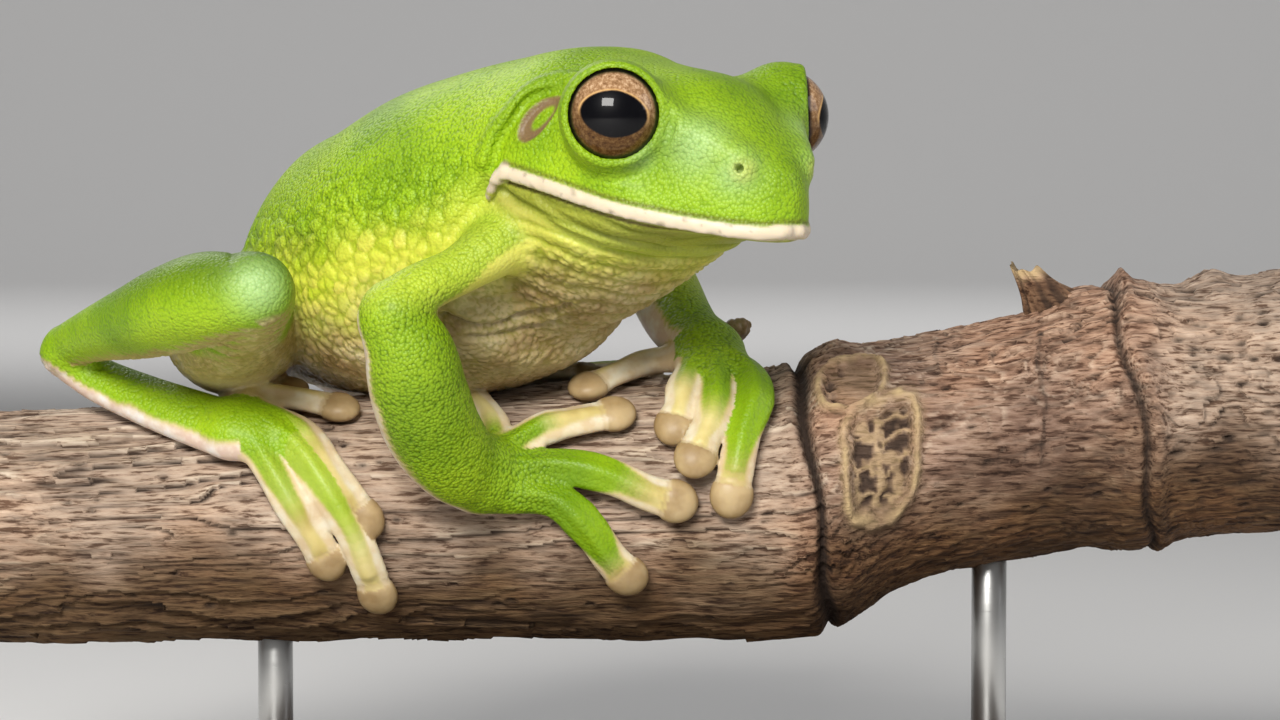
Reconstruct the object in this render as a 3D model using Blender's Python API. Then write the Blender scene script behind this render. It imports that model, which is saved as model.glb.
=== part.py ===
"""A life-size white-lipped tree frog that grips a cut branch, on a plain display stand.

Sizes are in millimetres until a mesh is made, when they become metres. X runs along the branch to
the end that the frog faces, Y away from the viewer, and Z up from the stand's foot.
"""

import math

import bmesh
import bpy
import numpy as np

METRE = 0.001
GAP = 0.3
LEVEL = 1e-9
# A direction that no rod runs in
ASIDE = (0.31, 0.95, 0.17)

# The branch: how far along it, how high its middle is, and its radius
BRANCH_STATIONS = (
    (-82.0, 38.9, 14.2),
    (-60.0, 39.6, 14.7),
    (-40.0, 40.2, 15.1),
    (-18.0, 40.8, 15.6),
    (2.0, 41.3, 16.2),
    (17.0, 41.9, 16.8),
    (24.0, 43.8, 17.7),
    (32.0, 46.8, 15.6),
    (45.0, 49.8, 15.1),
    (57.0, 52.4, 16.1),
    (61.5, 53.2, 17.2),
    (66.0, 53.4, 16.3),
    (82.0, 55.0, 16.5),
)
BRANCH_SIDES = 20
BRANCH_RINGS = 24
BARK_DEPTH = 0.3
# A broken side shoot, from its root to its tip, and the rims of two old leaf scars
SHOOT = (((53.0, 0.0, 60.0), 6.4), ((50.6, -0.5, 66.4), 4.9), ((48.6, -1.0, 70.4), 2.0))
SCARS = (
    {"along": 28.5, "turn": 82.0, "half_along": 5.4, "half_round": 7.2},
    {"along": 25.6, "turn": 46.0, "half_along": 4.0, "half_round": 4.2},
)
SCAR_RIM = 1.0

# The stand: a plate, and two rods that are set into it and into the branch
PLATE_LENGTH = 124.0
PLATE_WIDTH = 80.0
PLATE_HEIGHT = 8.0
PLATE_BEVEL = 1.4
PLATE_CORNER = 9.0
ROD_RADIUS = 2.2
ROD_PLACES = {"left": -46.0, "right": 44.0}
ROD_IN_PLATE = 4.0
ROD_IN_BRANCH = 8.0

# The head's own frame: its origin is midway between the corners of the mouth
HEAD_ORIGIN = np.array((-5.3, -16.9, 83.4))
HEAD_TURN = 48.0
HEAD_DROP = 11.0
# How far forward of the mouth's corners, half the width, the crown above the mouth, the throat below
# it, and how far the mouth sags there below the level of its corners
HEAD_STATIONS = (
    (0.0, 17.0, 15.6, 20.0, 0.0),
    (5.0, 16.8, 15.3, 17.0, 0.0),
    (10.0, 16.1, 15.5, 12.8, 0.25),
    (14.0, 15.2, 16.0, 8.8, 0.6),
    (17.5, 14.2, 16.4, 5.6, 0.95),
    (20.5, 13.0, 16.2, 3.2, 1.15),
    (23.5, 11.4, 15.0, 1.5, 1.25),
    (26.5, 9.4, 13.0, 0.8, 1.3),
    (29.5, 7.2, 10.8, 0.5, 1.3),
    (32.0, 4.9, 9.0, 0.4, 1.2),
    (33.6, 2.9, 7.2, 0.3, 1.0),
    (34.3, 1.4, 5.2, 0.3, 0.7),
)
CROWN_SQUARENESS = 2.35
THROAT_SQUARENESS = 1.9
JAW_INSET = 0.9
SNOUT_TIP = (34.6, 2.4)

# The torso: how far back along its own line, half the width, the heights of back, flank and belly
TORSO_ORIGIN = (-5.0, -20.0)
TORSO_TURN = 45.0
TORSO_STATIONS = (
    (10.0, 17.2, 97.7, 76.0, 59.6),
    (18.0, 19.0, 96.4, 74.0, 56.8),
    (28.0, 20.2, 94.2, 72.0, 55.4),
    (38.0, 18.6, 90.2, 71.0, 55.2),
    (46.0, 15.8, 87.4, 70.0, 55.6),
    (50.0, 14.2, 84.4, 69.5, 56.0),
    (54.0, 12.2, 79.0, 68.5, 56.8),
    (58.0, 9.2, 73.6, 67.5, 58.5),
    (61.0, 5.4, 70.0, 66.5, 61.5),
)
TORSO_SQUARENESS = 2.15
RUMP_TIP = (62.4, 66.2)
BODY_SIDES = 30
BODY_RINGS = 30
BODY_END_CLOSENESS = 0.6

# Where the neck is parted, behind the corners of the mouth, and the bead of the upper lip
NECK_BEHIND_MOUTH = 2.5
MOUTH_BLOCK = 70.0
LIP_HALF_HEIGHT = 0.85
LIP_HALF_DEPTH = 0.7
LIP_HEIGHT = 0.9
LIP_SIDES = 5
LIP_STEPS = 25

# The eyes in the head's frame, which look outwards and a little up, and their lids
EYE_FORWARD = 16.6
EYE_SIDEWAYS = 13.4
EYE_HEIGHT = 10.3
EYE_RADIUS = 5.7
EYE_FROM_FORWARD = 42.0
EYE_UP = 8.0
EYE_SIDES = 16
LID_PLANE = 2.4
LID_RADIUS = 0.65
MOUND_RADIUS = 6.6
MOUND_SIDES = 14
LID_STEPS = 18

# Nostrils, eardrums, and the fold over each eardrum as places forward of and above the mouth's corner
NOSTRIL = (30.1, 6.5)
NOSTRIL_RADIUS = 0.85
EARDRUM_PLACE = (5.6, 7.6)
EARDRUM_HALF_HEIGHT = 3.2
EARDRUM_HALF_WIDTH = 2.0
EARDRUM_LEAN = 24.0
EARDRUM_RIM = 0.55
EAR_FOLD = ((9.2, 12.6), (6.6, 12.3), (4.4, 11.9), (2.5, 10.4), (1.5, 7.6), (-0.1, 4.4), (-0.6, 1.6))
EAR_FOLD_RADIUS = 1.0
EARDRUM_STEPS = 12

# Each length of a limb: places along its middle, with half its width and half its depth there, and
# the direction in which its depth is measured
LIMBS = {
    "upper_arm_right": {
        "depth_is": (0.0, 0.0, 1.0),
        "places": (
            ((-11.0, -21.0, 78.5), 4.6, 4.4),
            ((-17.5, -27.0, 74.6), 3.9, 3.6),
            ((-21.6, -29.3, 72.0), 3.0, 2.9),
            ((-25.7, -31.2, 70.0), 3.3, 3.1),
            ((-28.8, -32.4, 67.6), 4.1, 3.7),
        ),
    },
    "forearm_right": {
        "depth_is": (0.0, -1.0, 0.3),
        "places": (
            ((-28.9, -32.6, 66.2), 4.2, 4.0),
            ((-27.4, -31.6, 63.2), 5.2, 5.0),
            ((-26.0, -28.6, 57.2), 5.8, 5.4),
            ((-24.4, -25.4, 52.6), 5.7, 5.0),
            ((-21.6, -21.8, 48.7), 5.2, 4.2),
            ((-19.6, -19.6, 47.2), 4.7, 3.4),
        ),
    },
    "upper_arm_left": {
        "depth_is": (0.0, 0.0, 1.0),
        "places": (
            ((0.0, -11.0, 77.0), 4.4, 4.4),
            ((3.2, -3.0, 75.6), 3.6, 3.6),
            ((3.8, 4.0, 75.4), 3.1, 3.0),
            ((2.6, 10.4, 75.6), 3.5, 3.3),
            ((1.4, 13.6, 75.4), 3.8, 3.6),
        ),
    },
    "forearm_left": {
        "depth_is": (0.0, 0.3, 1.0),
        "places": (
            ((1.3, 14.2, 74.6), 3.9, 4.0),
            ((1.9, 12.0, 71.4), 4.4, 4.6),
            ((3.6, 7.4, 67.4), 4.5, 4.6),
            ((6.1, 2.2, 64.2), 4.3, 4.2),
            ((8.4, -1.8, 62.2), 4.1, 3.4),
        ),
    },
    "thigh_right": {
        "depth_is": (0.0, 0.0, 1.0),
        "places": (
            ((-37.0, 20.0, 67.0), 8.6, 8.4),
            ((-45.9, 10.0, 65.0), 9.4, 8.8),
            ((-49.8, -4.0, 64.4), 9.6, 8.4),
            ((-48.0, -17.0, 67.0), 7.4, 6.8),
            ((-45.6, -28.5, 69.4), 5.0, 5.0),
            ((-44.6, -32.6, 70.0), 4.1, 4.3),
        ),
    },
    "shank_right": {
        "depth_is": (0.0, 0.0, 1.0),
        "places": (
            ((-46.6, -32.0, 69.5), 4.5, 4.6),
            ((-50.6, -28.6, 69.0), 5.9, 5.4),
            ((-55.4, -23.2, 67.4), 6.2, 5.4),
            ((-60.8, -16.8, 65.6), 5.1, 4.6),
            ((-66.4, -10.4, 63.9), 3.6, 3.5),
            ((-71.4, -4.8, 62.0), 2.5, 2.7),
        ),
    },
    "tarsus_right": {
        "depth_is": (0.0, -1.0, 0.8),
        "places": (
            ((-72.4, -4.1, 60.9), 2.5, 2.2),
            ((-67.6, -5.0, 58.0), 2.9, 2.3),
            ((-61.6, -7.4, 55.6), 3.3, 2.4),
            ((-55.4, -10.2, 53.6), 3.7, 2.4),
            ((-49.6, -12.4, 51.8), 4.0, 2.3),
        ),
    },
    "thigh_left": {
        "depth_is": (0.0, 0.0, 1.0),
        "places": (
            ((-36.0, 19.0, 67.0), 7.6, 7.6),
            ((-28.0, 27.0, 67.6), 7.6, 7.2),
            ((-17.0, 32.8, 68.8), 6.8, 6.4),
            ((-6.4, 36.4, 70.0), 5.6, 5.4),
            ((-0.6, 38.0, 70.6), 4.6, 4.6),
            ((2.2, 38.4, 70.4), 4.0, 4.0),
        ),
    },
    "shank_left": {
        "depth_is": (0.0, 0.0, 1.0),
        "places": (
            ((1.0, 41.0, 69.4), 4.4, 4.4),
            ((-5.0, 43.6, 68.4), 5.6, 5.2),
            ((-14.0, 42.8, 66.2), 5.8, 5.0),
            ((-25.0, 38.4, 63.6), 4.6, 4.2),
            ((-35.0, 33.0, 61.2), 3.2, 3.0),
            ((-43.0, 28.2, 59.4), 2.5, 2.5),
        ),
    },
    "tarsus_left": {
        "depth_is": (0.0, 0.5, 1.0),
        "places": (
            ((-44.2, 27.4, 58.4), 2.3, 2.2),
            ((-39.0, 25.0, 55.6), 2.5, 2.3),
            ((-32.4, 21.6, 53.4), 2.9, 2.4),
            ((-25.0, 17.4, 53.0), 3.2, 2.3),
            ((-18.6, 13.6, 53.4), 3.4, 2.2),
        ),
    },
}
LIMB_SIDES = 11
LIMB_RINGS = 7

# Hands and feet lie on the bark. Each place is how far along the branch it is, how many degrees
# round it from the top towards the viewer, and how far above the bark. The root comes first
HAND_RIGHT = {
    "root": ((-20.0, 69.0, 4.4), (-16.6, 72.0, 3.2), (-13.4, 73.5, 2.2)),
    "digits": (
        ((-17.5, 62.0, 2.0), (-18.0, 50.0, 1.9), (-19.5, 38.0, 1.8), (-21.5, 30.0, 1.7)),
        ((-17.0, 62.0, 2.4), (-12.2, 51.5, 2.2), (-8.0, 47.2, 2.0), (-2.2, 42.1, 1.5)),
        ((-16.0, 69.0, 2.6), (-10.1, 67.6, 2.6), (-4.2, 71.5, 2.4), (1.2, 79.0, 1.9), (5.2, 83.0, 1.4)),
        ((-16.0, 77.0, 2.6), (-10.1, 81.0, 2.6), (-6.2, 92.0, 2.3), (-3.5, 104.5, 1.8), (-1.1, 114.0, 1.5)),
    ),
    "web_reach": (0.3, 0.42, 0.5),
}
HAND_LEFT = {
    "root": ((8.6, 7.0, 3.8), (8.9, 16.0, 3.3), (9.2, 24.0, 2.6)),
    "digits": (
        ((6.6, 12.0, 3.0), (1.0, 5.0, 2.2), (-3.0, 14.5, 1.8), (-6.9, 24.0, 1.4)),
        ((7.2, 16.0, 3.0), (5.7, 30.0, 2.4), (5.0, 43.0, 1.9), (4.2, 51.5, 1.5)),
        ((9.0, 18.0, 3.2), (9.5, 35.0, 2.7), (8.9, 49.0, 2.6), (7.6, 59.0, 2.6), (6.5, 67.6, 2.7)),
        ((10.2, 14.0, 3.2), (13.4, 27.0, 2.8), (14.1, 41.0, 2.6), (12.6, 56.0, 2.3), (11.6, 71.0, 1.9),
         (10.9, 83.5, 1.5)),
    ),
    "web_reach": (0.3, 0.5, 0.45),
}
FOOT_RIGHT = {
    "root": ((-49.4, 44.0, 3.0), (-46.0, 48.0, 2.6), (-43.0, 53.0, 2.2)),
    "digits": (
        ((-48.4, 34.0, 2.6), (-50.0, 22.0, 2.2), (-47.6, 11.0, 1.9), (-43.5, 7.0, 1.6)),
        ((-48.4, 34.0, 2.8), (-46.8, 24.5, 2.4), (-42.0, 25.6, 2.0), (-36.3, 32.1, 1.5)),
        ((-47.4, 38.0, 2.6), (-41.9, 47.0, 2.3), (-38.7, 62.0, 2.1), (-35.8, 75.5, 1.8), (-32.9, 89.0, 1.5)),
        ((-47.0, 44.0, 2.8), (-42.4, 54.4, 2.8), (-38.4, 72.0, 2.6), (-34.9, 91.0, 2.3),
         (-33.0, 108.0, 2.0), (-31.7, 125.0, 1.5)),
        ((-47.8, 50.0, 2.6), (-44.4, 67.6, 2.4), (-41.4, 84.0, 2.1), (-39.4, 95.0, 1.8), (-37.9, 105.5, 1.5)),
    ),
    "web_reach": (0.5, 0.5, 0.66, 0.7),
}
FOOT_LEFT = {
    "root": ((-18.8, -46.0, 3.0), (-14.8, -37.0, 2.8), (-11.4, -31.0, 2.2)),
    "digits": (
        ((-17.0, -34.0, 2.6), (-14.0, -23.0, 2.2), (-10.0, -15.0, 1.8), (-6.6, -13.0, 1.5)),
        ((-15.0, -32.0, 2.6), (-10.0, -23.0, 2.3), (-5.0, -20.0, 1.8), (-1.0, -20.0, 1.5)),
        ((-14.0, -34.0, 2.6), (-6.0, -31.0, 2.3), (0.0, -33.0, 1.8), (5.4, -36.0, 1.5)),
        ((-14.0, -33.0, 2.8), (-7.0, -27.0, 2.6), (0.0, -24.0, 2.6), (6.0, -22.0, 3.4), (12.8, -20.0, 5.6)),
        ((-15.0, -40.0, 2.6), (-8.0, -47.0, 2.3), (-1.0, -54.0, 1.9), (4.0, -58.0, 1.5)),
    ),
    "web_reach": (0.5, 0.5, 0.55, 0.6),
}
PALM_SIZES = ((4.6, 3.4), (4.4, 2.6), (3.4, 1.9))
SOLE_SIZES = ((3.9, 2.4), (3.7, 2.3), (2.8, 1.8))
# Half the width and depth of a digit at its root, along its slim length, and at the pad on its tip
FINGER_SIZES = ((2.3, 1.8), (2.05, 1.6), (1.8, 1.4), (2.75, 1.4))
TOE_SIZES = ((1.9, 1.6), (1.75, 1.4), (1.55, 1.3), (2.5, 1.3))
PAD_STARTS = 0.8
DIGIT_SIDES = 8
DIGIT_RINGS = 6
WEB_HALF_DEPTH = 0.4
WEB_NOTCH = 0.4
WEB_ROWS = 3
WEB_COLUMNS = 3

# Base colour, roughness and metallic value of each finish
FINISHES = {
    "green skin": ((0.17, 0.42, 0.01), 0.42, 0.0),
    "pale skin": ((0.62, 0.50, 0.30), 0.40, 0.0),
    "eye": ((0.13, 0.05, 0.02), 0.12, 0.0),
    "bark": ((0.30, 0.20, 0.14), 0.90, 0.0),
    "plate": ((0.05, 0.035, 0.028), 0.45, 0.0),
    "rod": ((0.55, 0.55, 0.55), 0.30, 1.0),
}

turn = math.radians(HEAD_TURN)
drop = math.radians(HEAD_DROP)
FORWARD = np.array((math.cos(turn) * math.cos(drop), -math.sin(turn) * math.cos(drop), -math.sin(drop)))
LEFT = np.array((math.sin(turn), math.cos(turn), 0.0))
UP = np.cross(FORWARD, LEFT)
turn = math.radians(TORSO_TURN)
BACKWARD = np.array((-math.cos(turn), math.sin(turn), 0.0))
TORSO_LEFT = np.array((math.sin(turn), math.cos(turn), 0.0))


def unit(vectors):
    """The same directions, with a length of one."""
    vectors = np.asarray(vectors, float)
    return vectors / np.linalg.norm(vectors, axis=-1, keepdims=True)


def read_curve(knots, rows, wanted):
    """Rows read at the wanted places of a smooth curve that has the given rows at its knots."""
    knots = np.asarray(knots, float)
    rows = np.asarray(rows, float)
    wanted = np.atleast_1d(np.asarray(wanted, float))
    slopes = np.gradient(rows, knots, axis=0)
    left = np.clip(np.searchsorted(knots, wanted, side="right") - 1, 0, len(knots) - 2)
    span = (knots[left + 1] - knots[left])[:, None]
    t = (wanted - knots[left])[:, None] / span
    return (
        (1 + 2 * t) * (1 - t) ** 2 * rows[left]
        + t * (1 - t) ** 2 * span * slopes[left]
        + t * t * (3 - 2 * t) * rows[left + 1]
        + t * t * (t - 1) * span * slopes[left + 1]
    )


def along(rows, shares):
    """Rows read at shares of a curve's length, which its first three values measure."""
    rows = np.asarray(rows, float)
    reach = np.concatenate([[0.0], np.cumsum(np.linalg.norm(np.diff(rows[:, :3], axis=0), axis=1))])
    return read_curve(reach, rows, np.asarray(shares) * reach[-1])


def make_object(name, points, faces):
    """A mesh object from points in millimetres, with its faces turned outwards."""
    mesh = bpy.data.meshes.new(name)
    mesh.from_pydata([tuple(METRE * np.asarray(p, float)) for p in points], [], [list(f) for f in faces])
    shape = bmesh.new()
    shape.from_mesh(mesh)
    bmesh.ops.recalc_face_normals(shape, faces=shape.faces)
    shape.to_mesh(mesh)
    shape.free()
    made = bpy.data.objects.new(name, mesh)
    bpy.context.scene.collection.objects.link(made)
    return made


def skin_over(name, rings, first_tip, last_tip):
    """A closed body over rings of equally many points, with one point that closes each end."""
    sides = len(rings[0])
    points = [p for ring in rings for p in ring] + [first_tip, last_tip]
    last = (len(rings) - 1) * sides
    faces = []
    for k in range(sides):
        after = (k + 1) % sides
        faces += [
            (start + k, start + after, start + sides + after, start + sides + k)
            for start in range(0, last, sides)
        ]
        faces += [(after, k, len(points) - 2), (last + k, last + after, len(points) - 1)]
    return make_object(name, points, faces)


def tube(name, rows, sides, rings, grow=0.0):
    """A round-ended tube. A row is a place, half the width and depth there, and the depth's direction."""
    rows = along(rows, np.linspace(0.0, 1.0, rings))
    middle = rows[:, :3]
    ahead = unit(np.gradient(middle, axis=0))
    across = unit(np.cross(ahead, rows[:, 5:8]))
    outward = unit(np.cross(across, ahead))
    half = rows[:, 3:5] + grow
    turns = np.linspace(0.0, 2 * np.pi, sides, endpoint=False)

    def ring(at, shift, share):
        centre = middle[at] + ahead[at] * shift
        sideways, upwards = share * across[at] * half[at, 0], share * outward[at] * half[at, 1]
        return [centre + sideways * math.cos(a) + upwards * math.sin(a) for a in turns]

    first, last = 0.9 * half[0, 0], 0.95 * half[-1, 0]
    made = [ring(0, -first * math.sin(a), math.cos(a)) for a in (1.05, 0.5)]
    made += [ring(at, 0.0, 1.0) for at in range(rings)]
    made += [ring(rings - 1, last * math.sin(a), math.cos(a)) for a in (0.6, 1.1)]
    return skin_over(name, made, middle[0] - ahead[0] * first, middle[-1] + ahead[-1] * last)


def hoop(name, places, outward, half_width, half_depth, sides):
    """A closed ring of oval section through places, flat side out."""
    places = np.asarray(places, float)
    ahead = unit(np.roll(places, -1, axis=0) - np.roll(places, 1, axis=0))
    across = unit(np.cross(ahead, outward))
    out = unit(np.cross(across, ahead))
    count = len(places)
    points = []
    for at in range(count):
        for a in np.linspace(0.0, 2 * np.pi, sides, endpoint=False):
            reach = across[at] * half_width * math.cos(a) + out[at] * half_depth * math.sin(a)
            points.append(places[at] + reach)
    faces = []
    for at in range(count):
        after = (at + 1) % count
        for k in range(sides):
            beside = (k + 1) % sides
            faces.append((at * sides + k, at * sides + beside, after * sides + beside, after * sides + k))
    return make_object(name, points, faces)


def ball(name, centre, radius, sides):
    """A round ball."""
    levels = [radius * math.sin(a) for a in np.linspace(-math.pi / 2, math.pi / 2, sides // 2 + 2)[1:-1]]
    turns = np.linspace(0.0, 2 * np.pi, sides, endpoint=False)
    centre = np.asarray(centre, float)
    rings = []
    for level in levels:
        reach = math.sqrt(radius * radius - level * level)
        rings.append([centre + (reach * math.cos(a), reach * math.sin(a), level) for a in turns])
    return skin_over(name, rings, centre - (0, 0, radius), centre + (0, 0, radius))


def rod(name, low, high, radius, sides=20):
    """A straight round rod between two places."""
    low, high = np.asarray(low, float), np.asarray(high, float)
    ahead = unit(high - low)
    across = unit(np.cross(ahead, ASIDE))
    beside = np.cross(ahead, across)
    turns = np.linspace(0.0, 2 * np.pi, sides, endpoint=False)
    ring = [radius * (across * math.cos(a) + beside * math.sin(a)) for a in turns]
    return skin_over(name, [[low + place for place in ring], [high + place for place in ring]], low, high)


def beyond(name, place, outward, size=260.0):
    """A block that fills all on the outward side of a flat that passes through a place."""
    outward = unit(outward)
    across = unit(np.cross(outward, (0.13, 0.27, 0.95)))
    beside = np.cross(outward, across)
    points = [
        np.asarray(place, float) + size * (i * across + j * beside + k * outward)
        for i in (-0.5, 0.5) for j in (-0.5, 0.5) for k in (0.0, 1.0)
    ]
    faces = ((0, 1, 3, 2), (4, 6, 7, 5), (0, 4, 5, 1), (2, 3, 7, 6), (0, 2, 6, 4), (1, 5, 7, 3))
    return make_object(name, points, faces)


def extent(island):
    """The size across the corners of an island's box."""
    places = np.array([v.co for v in island])
    return float(np.linalg.norm(places.max(axis=0) - places.min(axis=0)))


def keep_largest(mesh):
    """Triangulates a mesh and keeps only its largest closed surface."""
    shape = bmesh.new()
    shape.from_mesh(mesh)
    bmesh.ops.triangulate(shape, faces=shape.faces)
    unseen = set(shape.verts)
    islands = []
    while unseen:
        island = {unseen.pop()}
        edge = list(island)
        while edge:
            near = {e.other_vert(v) for v in edge for e in v.link_edges} - island
            island |= near
            edge = list(near)
        unseen -= island
        islands.append(island)
    islands.sort(key=extent, reverse=True)
    bmesh.ops.delete(shape, geom=[v for island in islands[1:] for v in island], context="VERTS")
    shape.to_mesh(mesh)
    shape.free()


def apply_boolean(target, operation, pieces, solver="EXACT"):
    """Joins closed pieces to the target, or takes them away from it, in one Boolean, and removes them."""
    group = bpy.data.collections.new(operation.lower())
    bpy.context.scene.collection.children.link(group)
    for piece in pieces:
        bpy.context.scene.collection.objects.unlink(piece)
        group.objects.link(piece)
    modifier = target.modifiers.new(operation.title(), "BOOLEAN")
    modifier.operation = operation
    modifier.operand_type = "COLLECTION"
    modifier.collection = group
    modifier.solver = solver
    graph = bpy.context.evaluated_depsgraph_get()
    mesh = bpy.data.meshes.new_from_object(target.evaluated_get(graph))
    target.modifiers.clear()
    target.data = mesh
    keep_largest(mesh)
    for piece in pieces:
        bpy.data.objects.remove(piece)
    bpy.data.collections.remove(group)
    return target


def branch_at(x):
    """The height of the branch's middle and its radius, at places along it."""
    stations = np.array(BRANCH_STATIONS)
    return read_curve(stations[:, 0], stations[:, 1:], x)


def on_bark(place):
    """The point at a place on the branch, and the direction straight out of the bark there."""
    x, degrees, lift = place
    height, radius = branch_at(x)[0]
    a = math.radians(degrees)
    out = np.array((0.0, -math.sin(a), math.cos(a)))
    return np.array((x, 0.0, height)) + out * (radius + lift), out


def branch_tube(name, grow=0.0):
    """The branch, with low ribs of bark along it."""
    ends = BRANCH_STATIONS[0][0], BRANCH_STATIONS[-1][0]
    rings = []
    for x in np.linspace(ends[0] - grow, ends[1] + grow, BRANCH_RINGS):
        height, radius = branch_at(min(max(x, ends[0]), ends[1]))[0]
        ring = []
        for a in np.linspace(0.0, 2 * np.pi, BRANCH_SIDES, endpoint=False):
            rib = BARK_DEPTH * math.sin(6 * a + 0.05 * x) * math.sin(0.11 * x + 2 * a)
            reach = radius + grow + rib
            ring.append((x, -reach * math.sin(a), height + reach * math.cos(a)))
        rings.append(ring)
    first, last = (np.mean(rings[0], axis=0), np.mean(rings[-1], axis=0))
    return skin_over(name, rings, first, last)


def rod_ends(side):
    """The lower and upper ends of a stand's rod."""
    x = ROD_PLACES[side]
    height, radius = branch_at(x)[0]
    return (x, 0.0, PLATE_HEIGHT - ROD_IN_PLATE), (x, 0.0, height - radius + ROD_IN_BRANCH)


def rod_hole(side):
    """A cutter that leaves the gap all round a rod and past both its ends."""
    low, high = rod_ends(side)
    return rod("rod_hole", np.add(low, (0, 0, -GAP)), np.add(high, (0, 0, GAP)), ROD_RADIUS + GAP)


def scar_rim(scar):
    """The raised rim of an old leaf scar."""
    places, outward = [], []
    radius = branch_at(scar["along"])[0][1]
    for a in np.linspace(0.0, 2 * np.pi, 16, endpoint=False):
        degrees = scar["turn"] + math.degrees(scar["half_round"] / radius) * math.sin(a)
        place, out = on_bark((scar["along"] + scar["half_along"] * math.cos(a), degrees, 0.1))
        places.append(place)
        outward.append(out)
    return hoop("scar_rim", places, outward, SCAR_RIM, 0.7 * SCAR_RIM, 5)


def make_branch():
    branch = branch_tube("perch_branch")
    shoot = [(*place, half, half, 0.0, -1.0, 0.0) for place, half in SHOOT]
    pieces = [tube("shoot", shoot, 10, 5)] + [scar_rim(scar) for scar in SCARS]
    apply_boolean(branch, "UNION", pieces)
    return apply_boolean(branch, "DIFFERENCE", [rod_hole(side) for side in ROD_PLACES])


def plate_outline(inset, height):
    """The plate's outline with round corners, drawn in by an inset."""
    half_length, half_width = PLATE_LENGTH / 2 - inset, PLATE_WIDTH / 2 - inset
    corner = PLATE_CORNER - inset
    points = []
    for quarter, (sx, sy) in enumerate(((1, 1), (-1, 1), (-1, -1), (1, -1))):
        for a in np.linspace(0.0, math.pi / 2, 5) + quarter * math.pi / 2:
            points.append((
                sx * (half_length - corner) + corner * math.cos(a),
                sy * (half_width - corner) + corner * math.sin(a),
                height,
            ))
    return points


def make_plate():
    steps = ((0.5, 0.0), (0.0, 0.5), (0.0, PLATE_HEIGHT - PLATE_BEVEL), (PLATE_BEVEL, PLATE_HEIGHT))
    rings = [plate_outline(inset, height) for inset, height in steps]
    plate = skin_over("stand_base", rings, (0, 0, 0), (0, 0, PLATE_HEIGHT))
    return apply_boolean(plate, "DIFFERENCE", [rod_hole(side) for side in ROD_PLACES])


def in_head(forward, left, up):
    """A point given in the head's own frame."""
    return HEAD_ORIGIN + forward * FORWARD + left * LEFT + up * UP


def oval(half_width, reach, squareness, at):
    """How far sideways and up a body's ring reaches at a turn round it."""
    side, rise = math.cos(at), math.sin(at)
    sideways = half_width * math.copysign(abs(side) ** (2 / squareness), side)
    return sideways, reach * math.copysign(abs(rise) ** (2 / squareness), rise)


def head_place(station, grow, at):
    """A place of the head's ring. The lower jaw is narrower than the lip that hangs over it."""
    forward, half, crown, throat, sag = station
    if math.sin(at) > -LEVEL:
        sideways, upwards = oval(half + grow, crown + grow, CROWN_SQUARENESS, at)
    else:
        sideways, upwards = oval(half - JAW_INSET + grow, throat + grow, THROAT_SQUARENESS, at)
    return in_head(forward, sideways, upwards - sag)


def torso_place(station, grow, at):
    """A place of the torso's ring."""
    back, half, top, flank, belly = station
    reach = top - flank if math.sin(at) > 0 else flank - belly
    sideways, upwards = oval(half + grow, reach + grow, TORSO_SQUARENESS, at)
    return np.array((*TORSO_ORIGIN, flank + upwards)) + back * BACKWARD + sideways * TORSO_LEFT


def body_loft(name, grow=0.0):
    """The whole body from snout to vent, before it is parted."""
    turns = np.linspace(0.0, 2 * np.pi, BODY_SIDES, endpoint=False)
    rings = [[head_place(station, grow, at) for at in turns] for station in reversed(HEAD_STATIONS)]
    rings += [[torso_place(station, grow, at) for at in turns] for station in TORSO_STATIONS]
    rows = [np.concatenate([np.mean(ring, axis=0), np.ravel(ring)]) for ring in rings]
    even = np.linspace(0.0, 1.0, BODY_RINGS)
    shares = even - BODY_END_CLOSENESS * np.sin(2 * np.pi * even) / (2 * np.pi)
    smooth = along(rows, shares)[:, 3:].reshape(BODY_RINGS, BODY_SIDES, 3)
    snout = in_head(SNOUT_TIP[0] + grow, 0.0, SNOUT_TIP[1])
    rump = np.array((*TORSO_ORIGIN, RUMP_TIP[1])) + (RUMP_TIP[0] + grow) * BACKWARD
    return skin_over(name, list(smooth), snout, rump)


def head_at(forward):
    """Half the head's width, its crown, its throat and the mouth's sag, at a place along it."""
    stations = np.array(HEAD_STATIONS)
    return read_curve(stations[:, 0], stations[:, 1:], min(max(forward, 0.0), stations[-1, 0]))[0]


def beside_head(forward, up, side):
    """The point of the head's flank at a place forward of and above the mouth's corner."""
    half, crown, throat, sag = head_at(forward)
    above = up + sag
    share = min(abs(above) / (crown if above > 0 else throat), 1.0)
    sideways = half * (1 - share ** CROWN_SQUARENESS) ** (1 / CROWN_SQUARENESS)
    return in_head(forward, side * sideways, up)


def eye_centre(side):
    return in_head(EYE_FORWARD, side * EYE_SIDEWAYS, EYE_HEIGHT)


def eye_look(side):
    """The direction in which an eye looks."""
    a, b = math.radians(EYE_FROM_FORWARD), math.radians(EYE_UP)
    return math.cos(b) * (math.cos(a) * FORWARD + side * math.sin(a) * LEFT) + math.sin(b) * UP


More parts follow.
